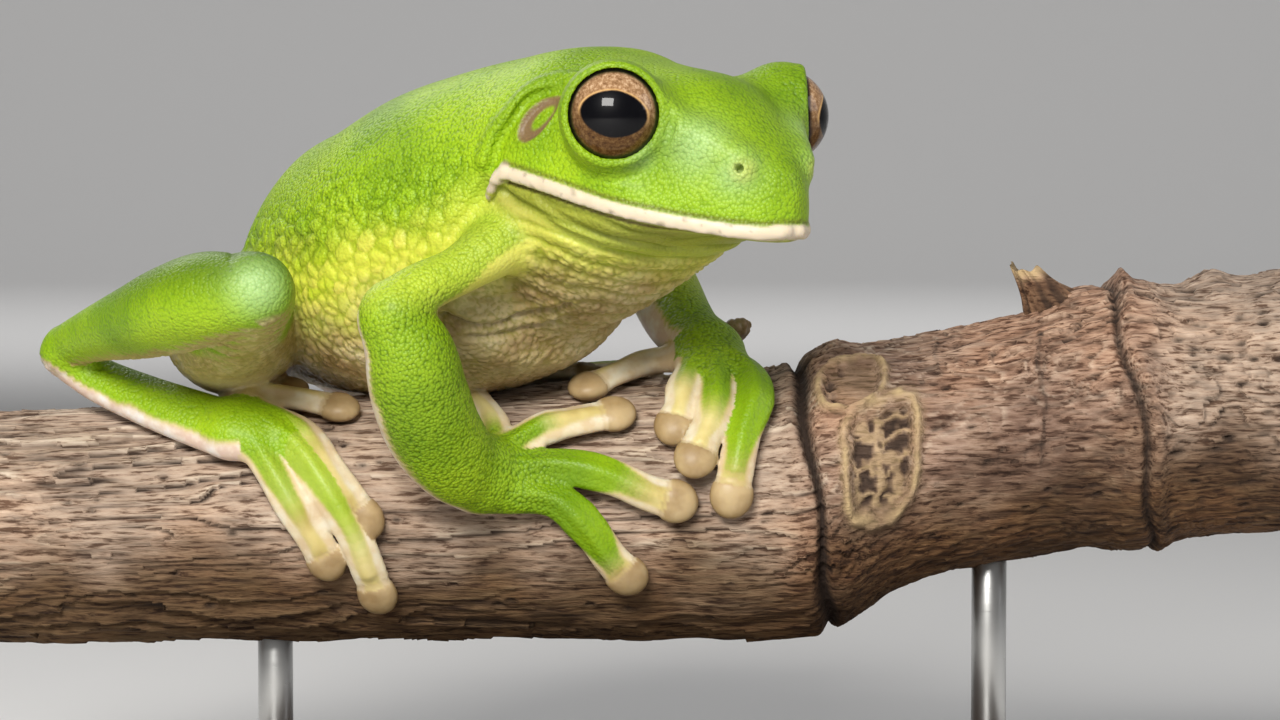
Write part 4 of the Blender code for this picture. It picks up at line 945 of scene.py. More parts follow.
FOOT_LEFT = {
    "root": ((-18.8, -46.0, 3.0), (-14.8, -37.0, 2.8), (-11.4, -31.0, 2.2)),
    "digits": (
        ((-17.0, -34.0, 2.6), (-14.0, -23.0, 2.2), (-10.0, -15.0, 1.8), (-6.6, -13.0, 1.5)),
        ((-15.0, -32.0, 2.6), (-10.0, -23.0, 2.3), (-5.0, -20.0, 1.8), (-1.0, -20.0, 1.5)),
        ((-14.0, -34.0, 2.6), (-6.0, -31.0, 2.3), (0.0, -33.0, 1.8), (5.4, -36.0, 1.5)),
        ((-14.0, -33.0, 2.8), (-7.0, -27.0, 2.6), (0.0, -24.0, 2.6), (7.0, -21.5, 4.6), (13.0, -18.5, 7.2)),
        ((-15.0, -40.0, 2.6), (-8.0, -47.0, 2.3), (-1.0, -54.0, 1.9), (4.0, -58.0, 1.5)),
    ),
    "web_reach": (0.5, 0.5, 0.55, 0.6),
    "greens": (0.0, 0.1, 0.5, 0.4, 0.9),
}
ROOT_GREEN = {"hand": 0.95, "foot": 0.8}
PALM_SIZES = ((4.6, 3.4), (4.4, 2.6), (3.4, 1.9))
SOLE_SIZES = ((3.9, 2.4), (3.7, 2.3), (2.8, 1.8))
# Shares of a digit's length with half its width and depth there. A soft flat sheath holds the digit's
# firm cord, which ends in a knuckle behind the pad
FINGER_SIZES = (
    (0.0, 2.3, 1.7), (0.22, 2.2, 1.35), (0.42, 2.45, 1.35),
    (0.6, 2.2, 1.15), (0.78, 2.25, 1.05), (1.0, 2.4, 1.15),
)
TOE_SIZES = (
    (0.0, 2.1, 1.5), (0.22, 2.1, 1.25), (0.42, 2.35, 1.2),
    (0.6, 2.15, 1.05), (0.78, 2.2, 1.0), (1.0, 2.25, 1.05),
)
CORD_SIZE = (0.46, 0.85)
CORD_LIFT = 0.6
CORD_ENDS = 0.8
FINGER_PAD = (2.9, 2.7, 1.5)
TOE_PAD = (2.9, 2.45, 1.45)
PAD_FROM = 0.85
WEB_HALF_DEPTH = 0.3
WEB_NOTCH = 0.4


def on_bark(place):
    """The point at a place on the branch, and the direction straight out of the bark there."""
    x, degrees, lift = place
    level, radius = branch_at(x)[0]
    a = math.radians(degrees)
    out = np.array((0.0, -math.sin(a), math.cos(a)))
    return np.array((x, 0.0, level)) + out * (radius + lift), out


def digit_rows(places, sizes, shares, width_share=1.0, depth_share=1.0, lift=0.0):
    """A digit's rows, read at shares of its length."""
    sizes = np.asarray(sizes)
    rows = []
    for share, place in zip(shares, read_curve(np.linspace(0.0, 1.0, len(places)), places, shares)):
        point, out = on_bark(place)
        half, deep = (np.interp(share, sizes[:, 0], sizes[:, k]) for k in (1, 2))
        rows.append((*(point + lift * deep * out), half * width_share, deep * depth_share, *out))
    return rows


def web_form(first, second, reach, rows=26, columns=14):
    """A thin web between two digits, with its free edge notched."""
    faces_out = [[], []]
    for share in np.linspace(0.0, reach, rows):
        for across in np.linspace(0.0, 1.0, columns):
            at = share * (1 - WEB_NOTCH * math.sin(math.pi * across))
            a = read_curve(np.linspace(0, 1, len(first)), first, at)[0]
            b = read_curve(np.linspace(0, 1, len(second)), second, at)[0]
            point, out = on_bark(a + (b - a) * across)
            for sign, side in zip((1, -1), faces_out):
                side.append(point + sign * WEB_HALF_DEPTH * out)
    at = np.arange(rows * columns).reshape(rows, columns)
    upper = np.stack([at[:-1, :-1], at[:-1, 1:], at[1:, 1:], at[1:, :-1]], axis=-1).reshape(-1, 4)
    lower = upper[:, ::-1] + rows * columns
    loop = np.concatenate([at[0, :-1], at[:-1, -1], at[-1, :0:-1], at[:0:-1, 0]])
    after = np.roll(loop, -1)
    edge = np.stack([loop, loop + rows * columns, after + rows * columns, after], axis=1)
    return np.array(faces_out[0] + faces_out[1]), np.concatenate([upper, lower, edge]), np.zeros((0, 3), int)


# The middle line of each limb and digit, from which its skin's colours are measured. A row is a
# place, half the width and depth there, the direction of the green side, how green it is, how far
# along a digit it is, and how pale its underside
middle_lines = []
LIMB_STEPS, DIGIT_STEPS = 24, 30


def note_middle(rows, green_is, green, shares, pale):
    """Keeps the middle line of a length of limb, a palm or a digit."""
    for row, share, how_green in zip(np.asarray(rows, float), shares, np.broadcast_to(green, len(shares))):
        toward = row[5:8] if green_is is None else green_is
        middle_lines.append((*row[:5], *unit(toward), how_green, share, pale))


def build_limb(chain, kind, plan, root_sizes, digit_sizes, pad_radii):
    """A whole limb as one field: its lengths, its hand or foot, its digits with their pads, and the webs."""
    field = np.full(field_shape, BAND, np.float32)
    boxes = []
    joint = None
    steps = np.linspace(0.0, 1.0, LIMB_STEPS)
    for name in chain:
        limb = LIMBS[name]
        rows = [(*place, *limb["depth_is"]) for place in limb["places"]]
        boxes.append(add_form(field, tube_form(rows), 2.6, near=joint, narrow=0.5, reach=5.0))
        joint = np.array(rows[-1][:3])
        greens = np.interp(steps, (0.45, 0.72), limb["green"])
        note_middle(along(rows, steps), limb["green_is"], greens, 0.0 * steps, limb["pale"])
    root_rows = []
    for place, size in zip(plan["root"], root_sizes):
        point, out = on_bark(place)
        root_rows.append((*point, *size, *out))
    boxes.append(add_form(field, tube_form(root_rows), 2.4, near=joint, narrow=1.0, reach=6.0))
    note_middle(along(root_rows, np.linspace(0, 1, 8)), None, ROOT_GREEN[kind], np.zeros(8), 0.4)
    shares = np.linspace(0.0, 1.0, DIGIT_STEPS)
    for places, green in zip(plan["digits"], plan["greens"]):
        sheath = digit_rows(places, digit_sizes, 0.94 * shares)
        start = np.array(sheath[0][:3])
        tube = tube_form(sheath, rings=50, sides=28)
        boxes.append(add_form(field, tube, 1.6, near=start, narrow=0.35, reach=5.0))
        cord = digit_rows(places, digit_sizes, CORD_ENDS * shares, *CORD_SIZE, CORD_LIFT)
        add_form(field, tube_form(cord, rings=50, sides=20), 0.5)
        pad = digit_rows(places, digit_sizes, (0.88, 0.94))
        middle, out = np.array(pad[1][:3]), np.array(pad[1][5:8])
        ahead = unit(middle - np.array(pad[0][:3]))
        across = unit(np.cross(ahead, out))
        axes = (ahead, across, np.cross(across, -ahead))
        boxes.append(add_form(field, ball_form(middle, pad_radii, axes), 0.45))
        note_middle(digit_rows(places, digit_sizes, shares), None, green, shares, 0.55)
    for first, second, reach in zip(plan["digits"], plan["digits"][1:], plan["web_reach"]):
        add_form(field, web_form(first, second, reach), 0.7)
    where = tuple(slice(min(b[i].start for b in boxes), max(b[i].stop for b in boxes)) for i in range(3))
    return field, where


EYE_FORWARD, EYE_SIDEWAYS, EYE_HEIGHT = 16.6, 13.4, 10.3
EYE_RADIUS = 5.7
EYE_FROM_FORWARD = {-1: math.radians(42.0), 1: math.radians(52.0)}
EYE_UP = math.radians(8.0)
EYE_MOAT = 7.5
LID_PLANE = 2.35
LID_EDGE = math.sqrt(EYE_RADIUS ** 2 - LID_PLANE ** 2)
LID_HALF_DEPTH = 0.42
LID_SIDES = 60
MOUND_RADIUS = 6.45
EARDRUM_PLACE = (5.6, 7.6)
EARDRUM_HALF_HEIGHT, EARDRUM_HALF_WIDTH = 3.2, 2.0
EARDRUM_LEAN = math.radians(24.0)
# Places forward of and above the mouth's corner
EAR_FOLD = ((9.2, 12.6), (6.6, 12.3), (4.4, 11.9), (2.5, 10.4), (1.5, 7.6), (-0.1, 4.4), (-0.6, 1.6))
EAR_GROOVE = (
    (8.6, 11.3), (7.1, 11.0), (4.5, 10.6), (2.9, 9.5), (2.4, 7.3), (1.3, 4.2), (0.9, 2.0), (-0.4, -1.6),
)
# The same, with the size of the lip's end there
MOUTH_CORNER = ((2.8, 1.0, 0.85), (1.6, 0.0, 0.8), (0.8, -1.2, 0.65), (0.1, -2.8, 0.4))
NOSTRIL = (30.1, 6.5)
LIP_HEIGHT = 0.85
LIP_FROM = 2.6
# The middle line of the ridge from the eye to the nostril, in the head's frame
EYE_RIDGE = ((21.5, 9.8, 10.2), (25.5, 7.2, 9.0), (29.3, 4.9, 7.4))
# Places in the head's frame of the fold between the jaw and the throat, from behind the mouth's
# corner to the middle of the chin
JAW_FOLD = (
    (2.1, 15.8, -2.0), (4.8, 15.7, -2.7), (7.2, 15.2, -3.5), (10.2, 14.0, -4.7), (13.6, 11.8, -5.6),
    (15.0, 9.6, -6.3), (16.2, 5.5, -6.9), (16.4, 0.0, -7.8),
)
# A shorter fold above it, along the jaw
CHEEK_FOLD = ((8.0, 15.4, -1.5), (12.2, 14.1, -3.2), (16.4, 11.4, -4.3), (18.8, 5.5, -5.1), (19.0, 0.0, -5.6))
# The depth of each fold of loose skin between the right arm and the chest, and its places
ARMPIT_FOLDS = (
    (0.75, ((-23.5, -23.4, 66.4), (-20.8, -22.6, 65.5), (-18.6, -21.5, 65.1), (-16.4, -20.2, 65.6),
            (-11.4, -20.9, 67.0), (-8.6, -23.4, 67.8))),
    (0.55, ((-20.4, -21.4, 63.8), (-16.3, -19.6, 64.2), (-11.1, -18.2, 65.3), (-8.9, -20.2, 66.1))),
    (0.4, ((-20.0, -23.8, 68.6), (-17.0, -22.6, 68.2), (-13.5, -22.4, 68.6))),
)


def eye_frame(side):
    """An eye's centre, the direction it looks in, and the directions beside and above that."""
    turned = EYE_FROM_FORWARD[side]
    sideways = math.cos(turned) * FORWARD + side * math.sin(turned) * LEFT
    look = math.cos(EYE_UP) * sideways + math.sin(EYE_UP) * UP
    beside = unit(np.cross(UP, look))
    return in_head(EYE_FORWARD, side * EYE_SIDEWAYS, EYE_HEIGHT), look, beside, np.cross(look, beside)


def lip_places(height, out):
    """Places along the mouth from one corner round the snout to the other."""
    right, left = (
        [in_head(LIP_FROM, side * (head_at(LIP_FROM)[0][0] + out), height)]
        + [in_head(f, side * (half + out), height - sag)
           for f, half, _, _, sag in HEAD_STATIONS if f > LIP_FROM]
        for side in (-1, 1)
    )
    tip = in_head(SNOUT_TIP[0] + out, 0.0, height - HEAD_STATIONS[-1, 4])
    return right + [tip] + left[::-1]


def build_body():
    """The body as one field, with its lids, ears, nostrils, lips, and the folds of its throat."""
    field = np.full(field_shape, BAND, np.float32)
    add_form(field, body_form(), 0.5)
    for side in (-1, 1):
        axes = (FORWARD, side * LEFT, UP)
        centre = eye_frame(side)[0]
        add_form(field, ball_form(centre, MOUND_RADIUS), 3.4)
        # A low ridge runs from the eye to the nostril, over a shallow hollow
        ridge = [in_head(f, side * l, u) for f, l, u in EYE_RIDGE]
        add_form(field, string_form(ridge, 1.5, UP), 3.0)
        press_form(field, ball_form(in_head(25.0, side * 14.2, 4.6), (5.0, 3.4, 2.8), axes), 3.0)
        fold = [beside_head(f, u, side, -0.1) for f, u in EAR_FOLD]
        add_form(field, string_form(fold, 1.25, side * LEFT), 1.3)
        groove = [beside_head(f, u, side, 0.3) for f, u in EAR_GROOVE]
        press_form(field, string_form(groove, 0.7, side * LEFT), 0.5)
        place = beside_head(*NOSTRIL, side)
        out = unit(0.45 * FORWARD + side * 0.85 * LEFT + 0.2 * UP)
        add_form(field, ball_form(place - 0.5 * out, 1.3), 1.2)
        press_form(field, string_form([place - 0.1 * out, place + 1.5 * out], 0.5, UP), 0.4)
        corner = [(*beside_head(f, u, side, -0.3), w, w, *(side * LEFT)) for f, u, w in MOUTH_CORNER]
        add_form(field, tube_form(corner), 0.5)
        for fold, size in ((JAW_FOLD, 0.6), (CHEEK_FOLD, 0.4)):
            press_form(field, string_form([in_head(f, side * l, u) for f, l, u in fold], size, UP), 0.7)
    lip_rows = [(*place, 0.8, 0.86, *UP) for place in lip_places(LIP_HEIGHT, -0.58)]
    add_form(field, tube_form(lip_rows, rings=220), 0.35)
    press_form(field, string_form(lip_places(-0.35, -0.75), 0.4, UP, rings=220), 0.3)
    return field


def open_eyes(field):
    """Leaves the opening of each eye's lids, with a thin edge that hugs the eye, and its socket."""
    for side in (-1, 1):
        centre, look, beside, above = eye_frame(side)
        lids = centre + look * LID_PLANE
        cut = [(*(lids + look * 0.3), 6.8, 6.8, *above), (*(lids + look * 7.0), 8.0, 8.0, *above)]
        press_form(field, tube_form(cut, blunt=(0.02, 0.02)), 0.7)
        reach = LID_EDGE + 0.85 * LID_HALF_DEPTH
        ring = [
            lids + reach * (beside * math.cos(a) + above * math.sin(a))
            for a in turns_round(LID_SIDES)
        ]
        add_form(field, loop_form(ring, [look] * LID_SIDES, 0.5, LID_HALF_DEPTH), 0.6)
        press_form(field, ball_form(centre, EYE_RADIUS + 0.03, sides=60), 0.08)


body = build_body()
whole = body.copy()
limbs = []
for chain, kind, plan, root_sizes, digit_sizes, pad in (
    (("upper_arm_right", "forearm_right"), "hand", HAND_RIGHT, PALM_SIZES, FINGER_SIZES, FINGER_PAD),
    (("upper_arm_left", "forearm_left"), "hand", HAND_LEFT, PALM_SIZES, FINGER_SIZES, FINGER_PAD),
    (("thigh_right", "shank_right", "tarsus_right"), "foot", FOOT_RIGHT, SOLE_SIZES, TOE_SIZES, TOE_PAD),
    (("thigh_left", "shank_left", "tarsus_left"), "foot", FOOT_LEFT, SOLE_SIZES, TOE_SIZES, TOE_PAD),
):
    started = len(middle_lines)
    limb, where = build_limb(chain, kind, plan, root_sizes, digit_sizes, pad)
    root = np.array(LIMBS[chain[0]]["places"][0][:3])
    melt_in(whole, where, limb[where], blend_width(where, root, 4.6, 0.4, 11.0))
    limbs.append((limb, started, len(middle_lines)))
open_eyes(whole)
grid = openvdb.FloatGrid()
grid.background = BAND
grid.transform = space
grid.copyFromArray(whole, ijk=tuple(int(v) for v in first_voxel))
points, quads = (np.asarray(values) for values in grid.convertToQuads(isovalue=0.0))
points, quads = points.astype(float), quads.astype(int)


def largest_piece(points, quads):
    """Only the largest connected surface, which leaves out the hollow behind each eye."""
    label = np.arange(len(points))
    while True:
        low = label[quads].min(axis=1)
        new = label.copy()
        for k in range(4):
            np.minimum.at(new, quads[:, k], low)
        new = new[new]
        if (new == label).all():
            break
        label = new
    kept = label == np.bincount(label).argmax()
    index = np.cumsum(kept) - 1
    return points[kept], index[quads[kept[quads[:, 0]]]]


def point_normals(points, quads):
    """The outward direction at each point."""
    across = np.cross(points[quads[:, 2]] - points[quads[:, 0]], points[quads[:, 3]] - points[quads[:, 1]])
    normals = np.zeros_like(points)
    for k in range(4):
        np.add.at(normals, quads[:, k], across)
    return unit(normals + 1e-12)


def field_at(field, points):
    """A field's distance at points."""
    at = np.round(points / VOXEL).astype(int) - first_voxel
    at = np.clip(at, 0, field_shape - 1)
    return field[at[:, 0], at[:, 1], at[:, 2]].astype(float)


def distance(points, place):
    """How far points are from a place."""
    return np.linalg.norm(points - place, axis=1)


points, quads = largest_piece(points, quads)
normals = point_normals(points, quads)

# Which limb each point belongs to, and its place on that limb
body_away = field_at(body, points)
nearest_limb = np.full(len(points), 99.0)
limb_share, limb_green, limb_pale, along_digit, is_arm = (np.zeros(len(points)) for _ in range(5))
lines = np.array(middle_lines)
for number, (limb, first, last) in enumerate(limbs):
    away = field_at(limb, points)
    mine = np.flatnonzero((away < body_away + 1.2) & (away < nearest_limb))
    nearest_limb[mine] = away[mine]
    is_arm[mine] = number < 2
    line = lines[first:last]
    for part in np.array_split(mine, max(1, len(mine) // 20000)):
        offset = points[part][:, None] - line[None, :, :3]
        chosen = line[(np.linalg.norm(offset, axis=2) - 0.9 * line[None, :, 3]).argmin(axis=1)]
        toward = np.einsum("ij,ij->i", unit(points[part] - chosen[:, :3]), chosen[:, 5:8])
        limb_share[part] = 0.5 + 0.5 * np.clip((body_away[part] - away[part]) / 1.2, -1, 1)
        # A digit's green narrows to a stripe along its cord
        own = chosen[:, 8]
        green = own * (1 - 0.70 * ease(*((0.3, 0.78) if number < 2 else (0.12, 0.6)), chosen[:, 9]))
        edge = 1.05 - 1.7 * green
        edge += 0.10 * wave_noise(points[part], 2.4, 59)
        reach = 0.45 + 0.5 * own
        fade = 1 - ease(reach - 0.3, reach, chosen[:, 9])
        limb_green[part] = ease(edge - 0.13, edge + 0.13, toward) * (own > 0.02) * fade
        along_digit[part] = chosen[:, 9]
        limb_pale[part] = chosen[:, 10] * ease(edge + 0.02, edge - 0.22, toward)
along_digit *= limb_share
pad = ease(PAD_FROM - 0.01, PAD_FROM + 0.04, along_digit)
limb_green *= 1 - ease(PAD_FROM - 0.05, PAD_FROM, along_digit)
limb_green *= 1 - 0.22 * ease(0.04, 0.3, along_digit) * (1 - is_arm)

# Where each point lies on the head and the torso
offset = points - HEAD_ORIGIN
forward, leftward, upward = offset @ FORWARD, offset @ LEFT, offset @ UP
half, _, _, sag = head_at(forward)
over_mouth = upward + np.where(forward > 0, sag, 0.0)
from_torso = points - np.array((*TORSO_ORIGIN, 0.0))
back = from_torso @ BACKWARD
_, top, flank, belly = read_curve(TORSO_STATIONS[:, 0], TORSO_STATIONS[:, 1:], np.clip(back, 10.0, 61.0)).T
rise = (points[:, 2] - belly) / (top - belly)
ragged = wave_noise(points, 5.0, 41) + 0.5 * wave_noise(points, 2.2, 43)
on_body = 1 - limb_share
on_head = ease(-2.0, 2.0, forward)
jaw_fold = np.array(JAW_FOLD)
under_fold = ease(-0.4, 0.8, np.interp(forward, jaw_fold[:, 0], jaw_fold[:, 2]) - upward)
torso_green = ease(0.37, 0.65, rise + 0.05 * ragged)
torso_yellow = ease(0.13, 0.40, rise + 0.04 * ragged) * (1 - 0.6 * ease(42, 54, back))
jaw_green = 0.45 * (1 - under_fold) + 0.12 * under_fold * ease(-12.0, -6.0, upward)
head_green = np.where(over_mouth > 0.2, 1.0, jaw_green)
head_yellow = 0.75 * ease(-14.0, -6.0, upward + 1.2 * ragged)
green = (torso_green * (1 - on_head) + head_green * on_head) * on_body + limb_green * limb_share
on_upper_arm = limb_share * is_arm * ease(66.0, 71.0, points[:, 2])
green -= 0.3 * on_upper_arm * green
yellow = (torso_yellow * (1 - on_head) + head_yellow * on_head) * on_body
yellow += 0.2 * limb_share + 0.6 * on_upper_arm
outside = ease(-2.4, -1.4, np.abs(leftward) - half) + ease(33.0, 34.0, forward)
near_lip = np.clip(outside, 0, 1) * ease(2.0, 2.6, forward) * on_body
white = near_lip * ease(-0.25, 0.05, over_mouth) * (1 - ease(1.45, 1.75, over_mouth))
# Painted shade darkens the jaw under the overhanging lip; the thin lines above and below the lip are brown in
# their own colour
in_shade = ease(-0.2, -1.0, over_mouth) * (1 - ease(2.0, 6.5, -over_mouth))
brown = np.maximum(0.7 * near_lip * hump(over_mouth - 1.95, 0.28), near_lip * hump(over_mouth + 0.45, 0.3))
brown = np.maximum(brown, 0.46 * on_head * on_body * in_shade)
for side in (-1, 1):
    for f, u, size in MOUTH_CORNER:
        white = np.maximum(white, 1 - ease(size, size + 0.45, distance(points, beside_head(f, u, side, 0.1))))

# The eardrums are sunk a little, with a raised brown rim, and a shallow moat runs round each eye
relief = 0.10 * wave_noise(points, 7.0, 61) * on_body
nostrils = np.zeros(len(points))
drum = np.zeros(len(points))
for side in (-1, 1):
    ahead, over = forward - EARDRUM_PLACE[0], upward - EARDRUM_PLACE[1]
    wide = ahead * math.cos(EARDRUM_LEAN) - over * math.sin(EARDRUM_LEAN)
    tall = ahead * math.sin(EARDRUM_LEAN) + over * math.cos(EARDRUM_LEAN)
    away = np.hypot(wide / EARDRUM_HALF_WIDTH, tall / EARDRUM_HALF_HEIGHT)
    on_side = ease(4.0, 8.0, side * leftward)
    relief += on_side * (0.22 * hump(away - 1.0, 0.16) - 0.35 * (1 - ease(0.7, 0.95, away)))
    from_centre = np.hypot(
        (wide - 0.1) / (0.4 * EARDRUM_HALF_WIDTH), (tall - 0.5) / (0.5 * EARDRUM_HALF_HEIGHT),
    )
    drum = np.maximum(drum, on_side * (1 - ease(0.88, 1.0, away)) * ease(0.8, 1.25, from_centre))
    from_nostril = distance(points, beside_head(*NOSTRIL, side))
    nostrils = np.maximum(nostrils, 0.85 * (1 - ease(0.9, 2.2, from_nostril)))
    from_eye = distance(points, eye_frame(side)[0])
    relief -= 0.28 * hump(from_eye - EYE_MOAT, 0.6) * ease(0.0, 3.0, 13.0 - upward)


def cells(points, size):
    """How far each point is inside its own grain, from 0 in the crease, and a number for its grain."""
    inside, own = np.zeros(len(points)), np.zeros(len(points))
    for k, point in enumerate(points / size):
        distances, middles = noise.voronoi(Vector(point))
        inside[k] = distances[1] - distances[0]
        own[k] = middles[0].dot(Vector((12.9898, 78.233, 37.719)))
    return inside, np.abs(np.sin(own) * 43758.5453) % 1.0


# Coarse grains stand out on the flanks and finer ones on the belly, and the back is nearly even
FLANK_GRAIN_SIZE, LOW_GRAIN_SIZE, BELLY_GRAIN_SIZE = 2.35, 1.6, 1.15
behind_mouth = ease(-1.0, -5.0, forward)
flank_grain = ease(0.36, 0.44, rise) * (1 - ease(0.60, 0.78, rise + 0.05 * ragged)) * behind_mouth
flank_grain *= on_body * (1 - ease(48, 58, back))
low_grain = ease(0.07, 0.14, rise) * (1 - ease(0.36, 0.44, rise)) * on_body * behind_mouth
belly_grain = (1 - ease(0.07, 0.14, rise)) * on_body * behind_mouth
belly_grain = np.maximum(belly_grain, on_body * under_fold * (1 - behind_mouth) * ease(-4.0, -9.0, upward))
under_leg = limb_share * (1 - limb_green) * (1 - is_arm) * ease(57.0, 60.0, points[:, 2])
belly_grain = np.maximum(belly_grain, 0.8 * under_leg)
crease_shade, tint = np.zeros(len(points)), np.full(len(points), 0.5)
squeezed = points + 0.5 * np.stack([wave_noise(points, 3.0, 47 + k) for k in range(3)], axis=1)
for amount, size, height in (
    (flank_grain, FLANK_GRAIN_SIZE, 0.34),
    (low_grain, LOW_GRAIN_SIZE, 0.26),
    (belly_grain, BELLY_GRAIN_SIZE, 0.24),
):
    chosen = np.flatnonzero(amount > 0.02)
    inside, own = cells(squeezed[chosen], size)
    relief[chosen] += amount[chosen] * height * (ease(0.0, 0.36, inside) - 0.7)
    # Painted shade darkens the creases between the grains
    crease_shade[chosen] = np.maximum(crease_shade[chosen], amount[chosen] * (1 - ease(0.02, 0.17, inside)))
    tint[chosen] = 0.5 + (own - 0.5) * amount[chosen]
# Fine folds of loose skin run along the jaw and across the throat, with painted shade in their troughs
throat = on_head * ease(-0.3, -1.2, over_mouth) * on_body
folds = np.sin(2.6 * (upward + 0.22 * forward) + 2.6 * wave_noise(points, 5.0, 53))
relief += throat * 0.20 * np.clip(folds, -1, 0.4)
crease_shade = np.maximum(crease_shade, throat * 0.9 * ease(0.4, 1.0, -folds))
# The folds of the armpit are cut in, with a low swelling above each, and painted shade darkens them deep down
for depth, fold in ARMPIT_FOLDS:
    line = along(fold, np.linspace(0.0, 1.0, 50))
    near = np.flatnonzero((distance(points, line.mean(axis=0)) < 13.0) & (on_body > 0.02))
    offset = points[near][:, None] - line[None]
    outward = (offset * normals[near][:, None]).sum(axis=2)
    flat = np.sqrt(np.maximum((offset ** 2).sum(axis=2) - outward ** 2, 0.0)) + 9.0 * (np.abs(outward) > 4.0)
    away = flat.min(axis=1)
    above = ease(-0.3, 0.5, offset[np.arange(len(near)), flat.argmin(axis=1), 2])
    cut = on_body[near] * hump(away, 0.42)
    relief[near] += depth * (0.5 * above * on_body[near] * hump(away - 1.1, 0.6) - cut)
    brown[near] = np.maximum(brown[near], 0.75 * depth * cut)
# The lip is uneven, with a few brown flecks
relief += 0.09 * white * wave_noise(points, 0.9, 67)
brown = np.maximum(brown, 0.45 * white * ease(0.42, 0.75, wave_noise(points, 0.7, 71)))
# Thin wrinkles ring the knee, and a collar parts each pad from its digit
KNEE = np.array((-44.4, -36.0, 70.4))
# Places in the head's frame, the size of each patch, and how strong it is
PAINTED_SHEEN_PATCHES = ((26.0, 8.3, 8.4, 3.4, 0.45), (29.5, 5.6, 6.2, 2.6, 0.45), (20.6, 12.0, 6.4, 1.8, 0.3))
from_knee = distance(points, KNEE)
relief += 0.030 * np.sin(2 * np.pi * from_knee) * hump(from_knee, 3.6) * ease(66.0, 70.0, points[:, 2])
# The knee is folded against the thigh
from_fold = points[:, 0] + 47.4 + 0.02 * (points[:, 2] - 78.0) ** 2
facing = ease(-26.0, -30.0, points[:, 1]) * ease(71.0, 73.5, points[:, 2]) * limb_share
relief -= 0.32 * hump(from_fold, 0.5) * facing
relief -= 0.16 * hump(along_digit - PAD_FROM, 0.02)
points = points + normals * relief[:, None]
# Painted highlights give a pale sheen where the skin is stretched over bone
painted_sheen = 0.5 * hump(from_knee, 3.2)
for forward_at, left_at, up_at, size, amount in PAINTED_SHEEN_PATCHES:
    for side in (-1, 1):
        away = distance(points, in_head(forward_at, side * left_at, up_at))
        painted_sheen = np.maximum(painted_sheen, amount * hump(away, size))
# The underside of the thigh is browner, partly its own beige-brown and partly painted shade
brown = np.maximum(brown, 0.22 * under_leg)
# Painted shadow of the head darkens the chest, over its own brownish tone
chest = on_body * ease(-22.0, -8.0, forward) * ease(-3.0, -10.0, upward) * (1 - ease(8.0, 14.0, forward))
brown = np.maximum(brown, 0.32 * chest * (1 - yellow))
# Painted shade darkens the green on the top of the thigh, on the forearm and on the upper head
on_thigh = ease(66.0, 73.0, points[:, 2]) * (1 - 1.6 * painted_sheen)
painted_top_shade = limb_share * np.where(is_arm > 0.5, 0.36 * (1 - on_upper_arm), on_thigh)
painted_top_shade += 0.36 * on_body * on_head * ease(1.0, 8.0, upward)
smooth_parts = np.clip(pad + white + 0.75 * limb_pale * limb_share + 0.6 * ease(0.1, 0.4, along_digit), 0, 1)
on_back = ease(4.0, -6.0, forward) * on_body
strong = 0.74 - 0.14 * limb_share + 0.26 * np.maximum(on_back, 1.5 * limb_share * is_arm)
rough = (1 - smooth_parts) * (0.3 + 0.7 * green) * (1 - 0.7 * drum) * strong


def maths(tree, kind, first, second):
    """A number worked out from two others."""
    node = add_node(tree, "Math", [("operation", kind)])
    join(tree, node.inputs[0], first)
    join(tree, node.inputs[1], second)
    return node.outputs["Value"]


def grain_group():
    """The fine grain of frog skin: round pimples about half a millimetre wide, and the lines between."""
    group = bpy.data.node_groups.new("skin_grain", "ShaderNodeTree")
    for name, way in (("Size", "INPUT"), ("Height", "OUTPUT"), ("Lines", "OUTPUT")):
        group.interface.new_socket(name, in_out=way, socket_type="NodeSocketFloat")
    put_in, put_out = group.nodes.new("NodeGroupInput"), group.nodes.new("NodeGroupOutput")
    place = add_node(group, "TexCoord").outputs["Object"]
    pimples = add_node(group, "TexVoronoi", Vector=place, Scale=put_in.outputs["Size"]).outputs["Distance"]
    dome = maths(group, "SUBTRACT", 1.0, maths(group, "POWER", pimples, 2.0))
    join(group, put_out.inputs["Height"], dome)
    lines = add_node(
        group, "MapRange", [("interpolation_type", "SMOOTHSTEP")],
        Value=pimples, From_Min=0.35, From_Max=0.80,
    )
    join(group, put_out.inputs["Lines"], lines.outputs["Result"])
    return group


